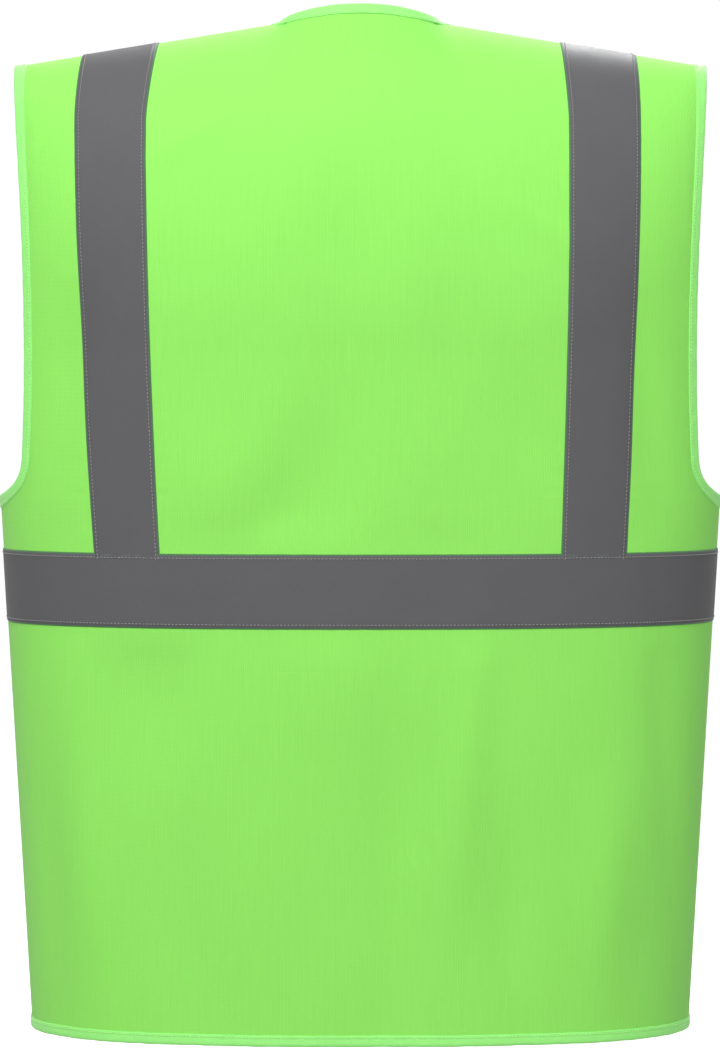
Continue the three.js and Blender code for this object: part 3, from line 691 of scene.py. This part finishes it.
def even_steps(edge, spacing):
    """Values of s from 0 to 1 that are evenly spaced along edge(s)."""
    s = np.linspace(0, 1, 1600)
    points = shape_point(*edge(s))
    run = np.concatenate([[0], np.cumsum(np.linalg.norm(np.diff(points, axis=0), axis=1))])
    count = max(4, int(round(run[-1] / spacing)))
    return np.interp(np.linspace(0, run[-1], count + 1), run, s), run[-1]


def edge_frame(edge, s, toward):
    """The angles and inward direction at s; toward(psi, eta) lies on the cloth's side of the edge."""
    psi, eta = edge(s)
    ahead, behind = edge(np.minimum(1, s + 2 * NUDGE)), edge(np.maximum(0, s - 2 * NUDGE))
    along = unit(shape_point(*ahead) - shape_point(*behind))
    a, b = slopes(psi, eta)
    inward = unit(np.cross(along, unit(np.cross(a, b))))
    aim = shape_point(*toward(psi, eta)) - shape_point(psi, eta)
    flip = np.sign((inward * aim).sum(-1).sum())
    return psi, eta, inward * flip


def binding(name, edge, toward, spacing=2.6):
    s, length = even_steps(edge, spacing)
    psi, eta, inward = edge_frame(edge, s, toward)
    run = np.linspace(0, length, len(s))
    rings = []
    for section in (BINDING_OUT, BINDING_IN):
        ring = []
        for distance, offset in section:
            swell = 0.12 * ripple(run, 5.0 + distance) * (abs(distance - 3) < 4)
            where = walk(psi, eta, inward * (distance + 0.15 * ripple(run * 0.6, 2.0)[:, None]))
            ring.append(on_shape(*where, offset + swell))
        rings.append(np.stack(ring, 1))
    u = np.cumsum([0] + [math.dist(p, q) for p, q in zip(BINDING_OUT, BINDING_OUT[1:])])
    uv = np.stack(np.meshgrid(u, run), -1).reshape(-1, 2)
    return sheet_body(name, rings[0], rings[1], BINDING, uv, sharp=70)


def outside(psi, eta):
    return psi + 0.1 * np.sign(psi), eta


def lower_middle(psi, eta):
    return 0.8 * psi, eta + 0.05 * np.sign(eta)


def higher(psi, eta):
    return psi, 0.9 * eta


def lower_outside(psi, eta):
    return 1.3 * psi, eta + 0.1


def front_neck_edge(turn):
    def edge(s):
        psi, eta = angles_at_rise(mix(V_RISE, 3, np.asarray(s, float)), -1, front_edge_psi)
        return turn * psi, eta
    return edge


NECK_PSI = float(psi_of(NECK_HALF_WIDTH, SHOULDER_HEIGHT))


def back_neck_edge(s):
    psi = mix(-NECK_PSI, NECK_PSI, np.asarray(s, float))
    return psi, back_neck_eta(across_at(psi, SHOULDER_HEIGHT))


def armhole_edge(turn, side):
    """From the underarm, s 0, to the shoulder line, s 1; its steps are finer round the lower corner."""
    low, low_rise = 0.45, 1.7

    def edge(s):
        corner = 1 + (np.asarray(s, float) / low) ** 2.6 * (low_rise - 1)
        rise = np.where(s < low, corner, mix(low_rise, 3, (s - low) / (1 - low)))
        psi, eta = angles_at_rise(rise, side, armhole_psi)
        return turn * psi, eta
    return edge


def hem_edge(side, lo, hi):
    return lambda s: row_angles(side, lo, hi, s, lambda t: HEM_TURN)


# ---- stitching ----
# rings along one stitch: (place along it, thickness, height), in lengths and radii
STITCH_RINGS = [
    (-0.5, 0.45, -0.55), (-0.36, 0.9, 0.1), (-0.12, 1.0, 0.4),
    (0.12, 1.0, 0.4), (0.36, 0.9, 0.1), (0.5, 0.45, -0.55),
]


def stitches(name, lines, material, pitch=2.6, length=1.75, radius=0.28):
    """A seam of single stitches. Each line is (edge, offset): edge(s) gives angles, and offset is how
    far the thread stands off the shape, a number or a function of the angles."""
    points, faces, uv, count = [], [], [], 0
    sides = 6
    rings = len(STITCH_RINGS)
    turn = np.arange(sides) * 2 * math.pi / sides
    one = grid_faces(rings, sides, 0, wrap=True)
    ring_uv = np.meshgrid(turn * radius, [where * length for where, _, _ in STITCH_RINGS])
    ring_uv = np.stack(ring_uv, -1).reshape(-1, 2)
    for edge, offset in lines:
        s, _ = even_steps(edge, pitch)
        psi, eta = edge(s)
        here = on_shape(psi, eta, offset(psi, eta) if callable(offset) else offset + 0 * psi)
        along = unit(np.gradient(here, axis=0))
        a, b = slopes(psi, eta)
        normal = unit(np.cross(a, b))
        across = unit(np.cross(normal, along))
        for k in range(len(s)):
            block = []
            for where, fat, lift in STITCH_RINGS:
                centre = here[k] + along[k] * where * length + normal[k] * lift * radius
                ring = np.cos(turn)[:, None] * across[k] + np.sin(turn)[:, None] * normal[k]
                block.append(centre + ring * fat * radius)
            points.append(np.concatenate(block))
            faces.append(one + count)
            uv.append(ring_uv)
            count += rings * sides
    points, quads = np.concatenate(points), np.concatenate(faces).tolist()
    first = np.arange(0, count, rings * sides)
    caps = [list(range(f + sides - 1, f - 1, -1)) for f in first]
    caps += [list(range(f + (rings - 1) * sides, f + rings * sides)) for f in first]
    mesh = bpy.data.meshes.new(name)
    mesh.from_pydata((points * MM).tolist(), [], quads + caps)
    lay_uv(mesh, np.concatenate(uv))
    mesh.shade_smooth()
    mesh.materials.append(material)
    return link_object(name, mesh)


def sew(name, lines, thread, body, slot, bend=False, **stitch):
    return hold(stitches(name, lines, thread, **stitch), body, bend=bend)


BINDING_STITCH, BINDING_TOP = 5.2, 1.7  # how far in from the edge, and how far off the shape


def inset(edge, toward):
    """The stitched line of a binding, which runs beside its edge."""
    def line(s):
        psi, eta, inward = edge_frame(edge, s, toward)
        return walk(psi, eta, inward * BINDING_STITCH)
    return line, BINDING_TOP


def band_lines(side, lo, hi):
    def line(across):
        return lambda s: band_angles(side, lo, hi, s, across)
    return [(line(across), TAPE_TOP) for across in TAPE_SEAMS]


def brace_lines(turn, side):
    def line(across):
        return lambda s: brace_angles(turn, side, brace_rise(s, 2.995), across + 0 * s)
    return [(line(across), TAPE_TOP) for across in TAPE_SEAMS]


piece = binding("back_neck_binding", back_neck_edge, lower_outside)
hold(piece, "root", ["neck_binding_back"])
piece = binding("back_hem_binding", hem_edge(1, -1, 1), higher)
hold(piece, "root", ["hem_binding_back"])
for turn, name in NAMES.items():
    body = front_body(turn)
    piece = binding(f"{name}_neck_binding", front_neck_edge(turn), outside)
    hold(
        piece, body, [f"{name}_neck_binding_upper", f"{name}_neck_binding_lower"], bend=True)
    piece = binding(f"{name}_armhole_binding_back", armhole_edge(turn, 1), lower_middle)
    hold(piece, "root", [f"{name}_armhole_binding"])
    piece = binding(f"{name}_armhole_binding_fore", armhole_edge(turn, -1), lower_middle)
    hold(piece, body, [f"{name}_armhole_binding_front"], bend=True)
    piece = binding(f"{name}_front_hem_binding", hem_edge(-1, 0, turn), higher)
    hold(piece, body, [f"{name}_hem_binding"])
    lines = [inset(front_neck_edge(turn), outside), inset(armhole_edge(turn, -1), lower_middle)]
    sew(
        f"{name}_front_binding_seam", lines, THREAD_LIME, body, "binding", bend=True)
    lines = [inset(hem_edge(-1, 0, turn), higher)]
    sew(f"{name}_front_hem_seam", lines, THREAD_LIME, body, "binding")
lines = [inset(back_neck_edge, lower_outside), inset(hem_edge(1, -1, 1), higher)]
lines += [inset(armhole_edge(turn, 1), lower_middle) for turn in NAMES]
sew("back_binding_seam", lines, THREAD_LIME, "root", "binding")

# the tape's seams run 2.1 mm in from its edges and stop just short of its ends
TAPE_SEAMS = (2.1 / TAPE_WIDTH, 1 - 2.1 / TAPE_WIDTH)
TAPE_TOP = TAPE_OVER + 0.1
lines = band_lines(1, -0.998, 0.998)
lines += [brace_lines(turn, 1)[k] for k in (0, 1) for turn in NAMES]
sew("back_tape_seam", lines, THREAD_GREY, "root", TAPE_SLOT)
for turn, name in NAMES.items():
    body = front_body(turn)
    lines = band_lines(-1, 0.02 * turn, 0.998 * turn)
    sew(f"{name}_band_seam", lines, THREAD_GREY, body, TAPE_SLOT)
    sew(
        f"{name}_brace_seam", brace_lines(turn, -1), THREAD_GREY, body, TAPE_SLOT, bend=True)


# ---- pockets ----
# each area is a stretch across, out from the middle, and a stretch of height
LOWER_POCKET, LOWER_FLAP = ((28, 160), (45, 225)), ((24, 164), (180, 238))
LOWER_PATCH = ((69, 119), (188, 208))
PHONE_POCKET, PHONE_FLAP = ((28, 98), (360, 462)), ((25, 101), (424, 474))
PHONE_PATCH = ((50, 76), (430, 446))
PEN_POCKET, ID_POCKET, ID_BORDER = ((106, 134), (360, 458)), ((30, 134), (362, 458)), 8
LABEL_AREA = ((-26, 26), (686, 711))
POCKET_TOP, FLAP_LIFT, FLAP_RAMP, LOOP_LEVEL, HOOK_LEVEL = 1.95, 4.0, 22, 3.6, 4.75


def near_edges(lo, hi, count):
    """Steps that are closer together at both ends, where the cloth turns under."""
    middle = np.linspace(lo + 2.5, hi - 2.5, count)
    return np.concatenate([[lo, lo + 0.5, lo + 1.2], middle, [hi - 1.2, hi - 0.5, hi]])


def patch(name, area, turn, side, offset, thickness, material, counts=(36, 40)):
    """A sewn layer; offset(x, height) is how far its outer face stands off the shape."""
    (x0, x1), (h0, h1) = area
    x, height = np.meshgrid(near_edges(x0, x1, counts[0]), near_edges(h0, h1, counts[1]))
    rim = np.minimum.reduce([x - x0, x1 - x, height - h0, h1 - height])
    roll = 0.55 * thickness * (1 - smoothstep(rim, 0, 1.2))
    psi, eta = psi_of(turn * x, height), eta_of(x, height, side)
    top = offset(x, height)
    outer, inner = on_shape(psi, eta, top - roll), on_shape(psi, eta, top - thickness)
    return sheet_body(name, outer, inner, material, sharp=75)


def line_at(turn, side, start, end):
    def line(s):
        x, height = (mix(start[k], end[k], np.asarray(s, float)) for k in (0, 1))
        return psi_of(turn * x, height), eta_of(x, height, side)
    return line


def offset_at(offset):
    def lift(psi, eta):
        point = shape_point(psi, eta)
        return offset(np.abs(point[..., 0]), point[..., 2] + SHOULDER_HEIGHT) + 0.1
    return lift


def pocket_bulge(area, depth):
    (x0, x1), (h0, h1) = area

    def offset(x, height):
        u, v = (x - x0) / (x1 - x0), (height - h0) / (h1 - h0)
        full_across = np.clip(np.sin(math.pi * np.clip(u, 0, 1)), 0, 1)
        full_up = np.clip(np.sin(2.2 * np.clip(v, 0, 1) + 0.35), 0, 1)
        return POCKET_TOP + depth * smoothstep(full_across * full_up, 0.1, 1.1)
    return offset


def flap_offset(area):
    def offset(x, height):
        rise = smoothstep((area[1][1] - height) / FLAP_RAMP, 0, 1)
        return POCKET_TOP + FLAP_LIFT * rise + 0.35 * np.sin(x * 0.09) * rise
    return offset


def outline(area, inset_by, turn, side, edges="lbr"):
    (x0, x1), (h0, h1) = area
    x0, x1, h0, h1 = x0 + inset_by, x1 - inset_by, h0 + inset_by, h1 - inset_by
    runs = {
        "l": ((x0, h1), (x0, h0)), "b": ((x0, h0), (x1, h0)),
        "r": ((x1, h0), (x1, h1)), "t": ((x1, h1), (x0, h1)),
    }
    return [line_at(turn, side, *runs[edge]) for edge in edges]


def pocket(name, node, area, turn, depth, hem=True):
    offset = pocket_bulge(area, depth)
    piece = patch(name, area, turn, -1, offset, 0.6, CLOTH)
    hold(piece, front_body(turn), [node])
    lines = [(line, offset_at(offset)) for line in outline(area, 2.2, turn, -1)]
    if hem:
        (x0, x1), (_, h1) = area
        lines.append((line_at(turn, -1, (x0 + 3, h1 - 18), (x1 - 3, h1 - 18)), offset_at(offset)))
    seam = sew(f"{name}_seam", lines, THREAD_LIME, front_body(turn), KNIT_SLOT)


def flap(name, node, area, turn):
    offset = flap_offset(area)
    piece = patch(name, area, turn, -1, offset, 1.0, CLOTH)
    lines = [(line, offset_at(offset)) for line in outline(area, 4.0, turn, -1)]
    (x0, x1), (_, h1) = area
    for drop in (2.0, 7.5):
        across = line_at(turn, -1, (x0 + 2, h1 - drop), (x1 - 2, h1 - drop))
        lines.append((across, offset_at(offset)))
    seam = stitches(f"{name}_seam", lines, THREAD_LIME)
    for thing in (piece, seam):
        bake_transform(thing)
    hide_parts(node)


def fastener(name, area, turn, body, level, node, material):
    """A patch of hook or loop tape with its stitching."""
    piece = patch(name, area, turn, -1, lambda x, height: level + 0 * x, 0.75, material, (20, 14))
    hold(piece, body, [node])
    lines = [(line, level) for line in outline(area, 1.6, turn, -1, "lbrt")]
    seam = sew(f"{name}_seam", lines, THREAD_LIME, body, "hook_and_loop", radius=0.25)


for turn, name in NAMES.items():
    body = front_body(turn)
    pocket(f"{name}_patch_pocket", f"{name}_lower_pocket", LOWER_POCKET, turn, 0.9)
    flap(f"{name}_patch_flap", f"{name}_pocket_flap", LOWER_FLAP, turn)
    fastener(f"{name}_loop_tape", LOWER_PATCH, turn, body, LOOP_LEVEL, f"{name}_loop_patch", LOOP)
    fastener(
        f"{name}_hook_tape", LOWER_PATCH, turn, f"{name}_flap", HOOK_LEVEL, f"{name}_hook_patch", HOOK)
pocket("phone_patch_pocket", "phone_pocket", PHONE_POCKET, 1, 0.9)
flap("phone_patch_flap", "phone_flap", PHONE_FLAP, 1)
fastener("phone_loop_tape", PHONE_PATCH, 1, "left_front", LOOP_LEVEL, "phone_loop_patch", LOOP)
fastener("phone_hook_tape", PHONE_PATCH, 1, "phone_flap", HOOK_LEVEL, "phone_hook_patch", HOOK)
pocket("pen_patch_pocket", "pen_pocket", PEN_POCKET, 1, 1.6, hem=False)

window = patch("id_window", tuple((a + 1.5, b - 1.5) for a, b in ID_POCKET), -1, -1,
               lambda x, height: 1.75 + 0.5 * np.sin(x * 0.07) * np.sin(height * 0.06), 0.25, VINYL)
hold(window, "right_front", ["id_pocket_window"])


def id_frame():
    corners = [(0, 0), (1, 0), (1, 1), (0, 1), (0, 0)]
    (x0, x1), (h0, h1) = ID_POCKET
    around, border = [], np.array([0, 0.6, 1.2, 3, 5, 6.8, 7.4, 8.0])
    for (u0, v0), (u1, v1) in zip(corners, corners[1:]):
        for k in np.linspace(0, 1, 40)[:None if (u1, v1) == (0, 0) else -1]:
            around.append((mix(u0, u1, k), mix(v0, v1, k)))
    around = np.array(around)
    u, v, depth = around[:, :1], around[:, 1:], border[None, :]
    x, height = mix(x0 + depth, x1 - depth, u), mix(h0 + depth, h1 - depth, v)
    psi, eta = psi_of(-x, height), eta_of(x, height, -1)
    edge = np.minimum(depth, ID_BORDER - depth) + 0 * x
    outer = on_shape(psi, eta, 2.75 - 0.5 * (1 - smoothstep(edge, 0, 1.2)))
    piece = sheet_body("id_border", outer, on_shape(psi, eta, 2.05 + 0 * x), BINDING, sharp=75)
    hold(piece, "right_front", ["id_pocket_frame"])
    lines = [(line, 2.85) for gap in (1.8, 6.2) for line in outline(ID_POCKET, gap, -1, -1, "lbrt")]
    seam = sew("id_border_seam", lines, THREAD_LIME, "right_front", KNIT_SLOT)


id_frame()

label = patch("blank_label", LABEL_AREA, 1, 1, lambda x, height: 0.3 + 0 * x, 0.35, LABEL, (24, 14))
hold(label, "root", ["neck_label"])
lines = [(line, -0.15) for line in outline(LABEL_AREA, 1.5, 1, 1, "lbrt")]
label_seam = sew("label_seam", lines, THREAD_GREY, "root", "label", radius=0.2)
lines = [(line, 1.0) for line in outline(LABEL_AREA, 1.5, 1, 1, "lbr")]
label_show = sew("label_seam_outside", lines, THREAD_LIME, "root", "label", radius=0.22)


# ---- the zip, in its own frame: x across, -y outwards, z along it ----
ZIP_LEAN = math.atan2(HEM_DEPTH_FRONT - CHEST_DEPTH, CHEST_HEIGHT)
ZIP_FOOT, ZIP_TOP, SLIDER_Z, BAR_Z = 1.5, 476, 461, 6.5
BOX_SIDE = 4.7  # the tapes keep clear of the box that holds the foot of the pin
FIRST_TOOTH, LAST_TOOTH, TOOTH_PITCH = 26.5, 468, 3.0  # the first is above the lowered slider
TOOTH = [
    (4.0, -0.72), (4.0, 0.72), (1.9, 0.66), (1.0, 0.42), (0.35, 0.62), (-0.45, 0.56),
    (-0.75, 0.3), (-0.75, -0.3), (-0.45, -0.56), (0.35, -0.62), (1.0, -0.42), (1.9, -0.66),
]


def zip_place(points):
    x, y, z = np.moveaxis(np.asarray(points, float), -1, 0)
    c, s = math.cos(ZIP_LEAN), math.sin(ZIP_LEAN)
    return np.stack([x, y * c + z * s - HEM_DEPTH_FRONT, z * c - y * s - SHOULDER_HEIGHT], -1)


def teeth(name, turn, first, last):
    shape = np.array(TOOTH)
    rings = [(-1.0, 0.72), (-0.7, 1.0), (1.5, 1.0), (1.9, 0.72)]
    one = []
    for y, size in rings:
        ring = (shape - (1.6, 0)) * size + (1.6, 0)
        one.append(np.stack([turn * ring[:, 0], np.full(len(shape), y), ring[:, 1]], 1))
    one = np.concatenate(one)
    count = len(shape)
    quads = grid_faces(len(rings), count, 0, wrap=True)
    caps = [list(range(count - 1, -1, -1)), list(range(3 * count, 4 * count))]
    faces = [list(map(int, q)) for q in quads] + caps
    if turn > 0:
        faces = [f[::-1] for f in faces]
    points, every = [], []
    for number, z in enumerate(np.arange(first, last, TOOTH_PITCH)):
        points.append(one + (0, 0, z))
        every += [[v + number * len(one) for v in f] for f in faces]
    mesh = bpy.data.meshes.new(name)
    mesh.from_pydata((zip_place(np.concatenate(points)) * MM).tolist(), [], every)
    mesh.materials.append(PLASTIC)
    mesh.shade_smooth()
    mesh.set_sharp_from_angle(angle=math.radians(35))
    return link_object(name, mesh)


def rounded(name, blocks, material, bevel=0.3, z=0.0):
    """A piece of bevelled blocks: each is (x0, x1, y0, y1, z0, z1), or an outline run from y0 to y1."""
    work = bmesh.new()
    for block in blocks:
        part = bmesh.new()
        if isinstance(block, dict):
            base = [part.verts.new((x, block["y"][0], h)) for x, h in block["outline"]]
            face = part.faces.new(base)
            grown = bmesh.ops.extrude_face_region(part, geom=[face])["geom"]
            for v in grown:
                if isinstance(v, bmesh.types.BMVert):
                    v.co.y = block["y"][1]
        else:
            spans = [(block[k], block[k + 1]) for k in (0, 2, 4)]
            bmesh.ops.create_cube(part, size=1)
            for v in part.verts:
                v.co = [(lo + hi) / 2 + v.co[k] * (hi - lo) for k, (lo, hi) in enumerate(spans)]
        bmesh.ops.recalc_face_normals(part, faces=part.faces)
        sharp = [e for e in part.edges if e.calc_face_angle(0) > 0.6]
        bmesh.ops.bevel(part, geom=sharp, offset=bevel, segments=3, affect="EDGES", profile=0.6)
        lump = bpy.data.meshes.new("lump")
        part.to_mesh(lump)
        work.from_mesh(lump)
        bpy.data.meshes.remove(lump)
        part.free()
    placed = zip_place([(v.co.x, v.co.y, v.co.z + z) for v in work.verts]) * MM
    for v, co in zip(work.verts, placed):
        v.co = co
    mesh = bpy.data.meshes.new(name)
    work.to_mesh(mesh)
    work.free()
    mesh.shade_smooth()
    mesh.set_sharp_from_angle(angle=math.radians(50))
    mesh.materials.append(material)
    return link_object(name, mesh)


def zip_tape(name, turn):
    """The knitted tape with its cord at the chain; beside the box it is narrower."""
    x = np.array([1.0, 1.3, 1.9, 2.5, 3.1, 4.5, 6, 8, 10, 12, 14, 16])
    out = np.array([0.4, -0.1, -0.35, -0.1, 0.3, 0.4, 0.4, 0.4, 0.4, 0.4, 0.4, 0.4])
    inn = np.array([0.5, 1.1, 1.35, 1.1, 0.9, 0.85, 0.85, 0.85, 0.85, 0.85, 0.85, 0.85])
    z = np.concatenate([[ZIP_FOOT, 5, 8, 10, 10.3, 10.6, 11], np.linspace(13, ZIP_TOP, 200)])
    grid_z, grid_x = np.meshgrid(z, x, indexing="ij")
    beside_box = mix(BOX_SIDE, x[0], smoothstep(grid_z, 10, 11))
    grid_x = mix(beside_box, x[-1], (grid_x - x[0]) / (x[-1] - x[0]))
    outer, inner = (zip_place(np.stack([turn * grid_x, y + 0 * grid_x, grid_z], -1)) for y in (out, inn))
    return sheet_body(name, outer, inner, ZIP_TAPE, sharp=70)


def beside_zip(turn):
    def line(s):
        height = mix(3, V_HEIGHT - 4, np.asarray(s, float))
        x = FRONT_EDGE + 3.5 + 0 * height
        return psi_of(turn * x, height), eta_of(x, height, -1)
    return line


for turn, name in NAMES.items():
    body = front_body(turn)
    first = FIRST_TOOTH + (0 if turn > 0 else TOOTH_PITCH / 2)
    chain = teeth(f"{name}_zip_teeth", turn, first, LAST_TOOTH)
    hold(chain, body, [f"{name}_zip_chain"])
    piece = hold(zip_tape(f"{name}_tape_of_zip", turn), body, [f"{name}_zip_tape"])
    lo, hi = sorted((turn * 0.7, turn * 4.2))
    stop = rounded(f"{name}_stop", [(lo, hi, -1.1, 2.0, ZIP_TOP - 4.5, ZIP_TOP)], METAL, 0.5)
    hold(stop, body, [f"{name}_top_stop"])
    lines = [(beside_zip(turn), 1.15)]
    sew(f"{name}_zip_seam", lines, THREAD_LIME, body, KNIT_SLOT)

pin = rounded("zip_pin", [(0.4, 2.9, -0.6, 2.0, 3.5, 25.6)], PLASTIC, 0.5)
hold(pin, "left_front", ["insertion_pin"])

# front and back walls, two side walls, floor, ribs, and the post beside the pin
box = [(-4.5, 4.5, -1.6, -0.95, 1.5, 10), (-4.5, 4.5, 2.3, 3.0, 1.5, 10), (-4.5, 0.45, -1.6, 3.0, 1.5, 10),
       (3.35, 4.5, -1.6, 3.0, 1.5, 10), (-4.5, 4.5, -1.6, 3.0, 1.5, 3.0)]
box += [(-3.4, 3.4, -1.95, -1.3, z, z + 0.9) for z in (3.4, 5.4, 7.4)]
box += [(-2.9, -0.4, -0.6, 2.0, 9.6, 25.6)]
hold(rounded("zip_box", box, PLASTIC, 0.22), "right_front", ["retainer_box"])

# the slider: its two plates, the post between them, the bridge outside and the four flanges
PLATE = [
    (-4.4, 0.3), (-3.4, 0), (3.4, 0), (4.4, 0.3), (4.6, 1.5), (4.6, 6), (5.0, 7.6), (5.2, 9.4),
    (4.9, 11.5), (4.0, 12.8), (1.2, 13), (0, 11.6), (-1.2, 13), (-4.0, 12.8), (-4.9, 11.5),
    (-5.2, 9.4), (-5.0, 7.6), (-4.6, 6), (-4.6, 1.5),
]
slider = [{"outline": PLATE, "y": y} for y in ((-2.3, -1.2), (2.6, 3.6))]
slider += [(-0.28, 0.28, -1.7, 3.1, 8, 12)]
slider += [(-0.8, 0.8, -5.4, -1.7, z, z + 1.1) for z in (2.5, 9.4)]
slider += [(-0.8, 0.8, -5.4, -4.4, 2.6, 10.4)]
slider += [(*x, *y, 0.3, 6) for y in ((-1.7, 0), (1.4, 3.1)) for x in ((-4.6, -3.7), (3.7, 4.6))]
hold(rounded("slider", slider, METAL, 0.3, SLIDER_Z), "zip_slider", ["zip_slider"])

# the bar and arms of the pull, its tab and the grip ribs
TAB = [
    (-3, -5.2), (3, -5.2), (3.3, -9), (3.3, -24.5), (2.2, -26.7), (0, -27), (-2.2, -26.7),
    (-3.3, -24.5), (-3.3, -9),
]
TAB_Y = (-4.0, -2.8)
tab = [(-3, 3, *TAB_Y, -0.6, 0.6), (-3, -1.5, *TAB_Y, -6.2, 0.4), (1.5, 3, *TAB_Y, -6.2, 0.4)]
tab += [{"outline": TAB, "y": TAB_Y}]
tab += [(-2.2, 2.2, -4.35, -3.9, z, z + 0.9) for z in (-22.5, -20.3, -18.1, -15.9, -13.7)]
hold(rounded("pull_tab", tab, METAL, 0.28, SLIDER_Z + BAR_Z), "zip_pull", ["zip_pull"])

# the seam allowances inside the side seams, which close the gap as a front swings away
for turn, name in NAMES.items():
    w, height = np.meshgrid(np.linspace(-1, 1, 25), np.linspace(4, UNDERARM_HEIGHT - 1, 110))
    psi = turn * share_psi(0.0005 + 0.085 * np.abs(w))
    eta = eta_of(across_at(psi, height), height, np.where(w < 0, -1, 1))
    outer, inner = (on_shape(psi, eta, top - 0.3 * np.abs(w)) for top in (-0.25, -0.8))
    piece = sheet_body(f"{name}_side_allowance", outer, inner, CLOTH)
    hold(piece, "root")


# ---- stage, light and camera ----
STAGE_HALF, WALL_HEIGHT, FLOOR_Z, WALL_SIDES = 8, 9.0, -0.95, 48
WORLD_LIGHT, FLOOR_GLOW = 0.58, 0.78


def point_at(thing, aim):
    direction = Vector(aim) - Vector(thing.location)
    thing.rotation_euler = direction.to_track_quat("-Z", "Y").to_euler()
    bpy.context.scene.collection.objects.link(thing)


def area_light(name, place, aim, size, power):
    data = bpy.data.lights.new(name, "AREA")
    data.shape, data.size, data.energy = "DISK", size, power
    lamp = bpy.data.objects.new(name, data)
    lamp.location = place
    point_at(lamp, aim)


def glowing(name, grey, roughness, strength):
    glow = {"Emission_Color": (1, 1, 1, 1), "Emission_Strength": strength}
    return Paint(name, (grey, grey, grey), roughness, **glow).material


def studio():
    """A white floor and a white ring of wall, which only the camera sees, and three soft lights."""
    scene = bpy.context.scene
    scene.view_settings.view_transform = "Standard"
    world = bpy.data.worlds.new("studio")
    world.use_nodes = True
    background = world.node_tree.nodes["Background"]
    background.inputs["Color"].default_value = (1, 1, 1, 1)
    background.inputs["Strength"].default_value = WORLD_LIGHT
    scene.world = world
    half = STAGE_HALF
    corners = [[x, y, FLOOR_Z] for x, y in ((-half, -half), (half, -half), (half, half), (-half, half))]
    white = glowing("studio_white", 0.45, 0.9, FLOOR_GLOW)
    floor = make_object("floor", np.array(corners) / MM, [[0, 1, 2, 3]], white)
    turns = np.arange(WALL_SIDES) * 2 * math.pi / WALL_SIDES
    wall = [[half * math.cos(a), half * math.sin(a), z] for z in (FLOOR_Z, WALL_HEIGHT) for a in turns]
    white = glowing("studio_backdrop", 0, 1.0, 1.0)
    backdrop = make_object("backdrop", np.array(wall) / MM, grid_faces(2, WALL_SIDES, 0, wrap=True), white)
    floor.visible_diffuse = False
    backdrop.visible_diffuse = backdrop.visible_glossy = backdrop.visible_shadow = False
    area_light("key", (0.45, 1.7, 2.2), (0, 0.1, -0.2), 1.4, 78)
    area_light("front", (0.2, 3.6, -0.3), (0, 0.1, -0.35), 2.4, 30)
    area_light("fore", (-0.5, -2.3, 1.9), (0, -0.1, -0.3), 1.4, 110)


def camera():
    data = bpy.data.cameras.new("camera")
    data.lens, data.sensor_width = 154, 36
    data.clip_start, data.clip_end = 0.05, 50
    eye = bpy.data.objects.new("camera", data)
    eye.location = (0.0003, 3.22, -0.2625)
    point_at(eye, (0.0003, 0.12, -0.3540))
    bpy.context.scene.camera = eye


studio()
camera()
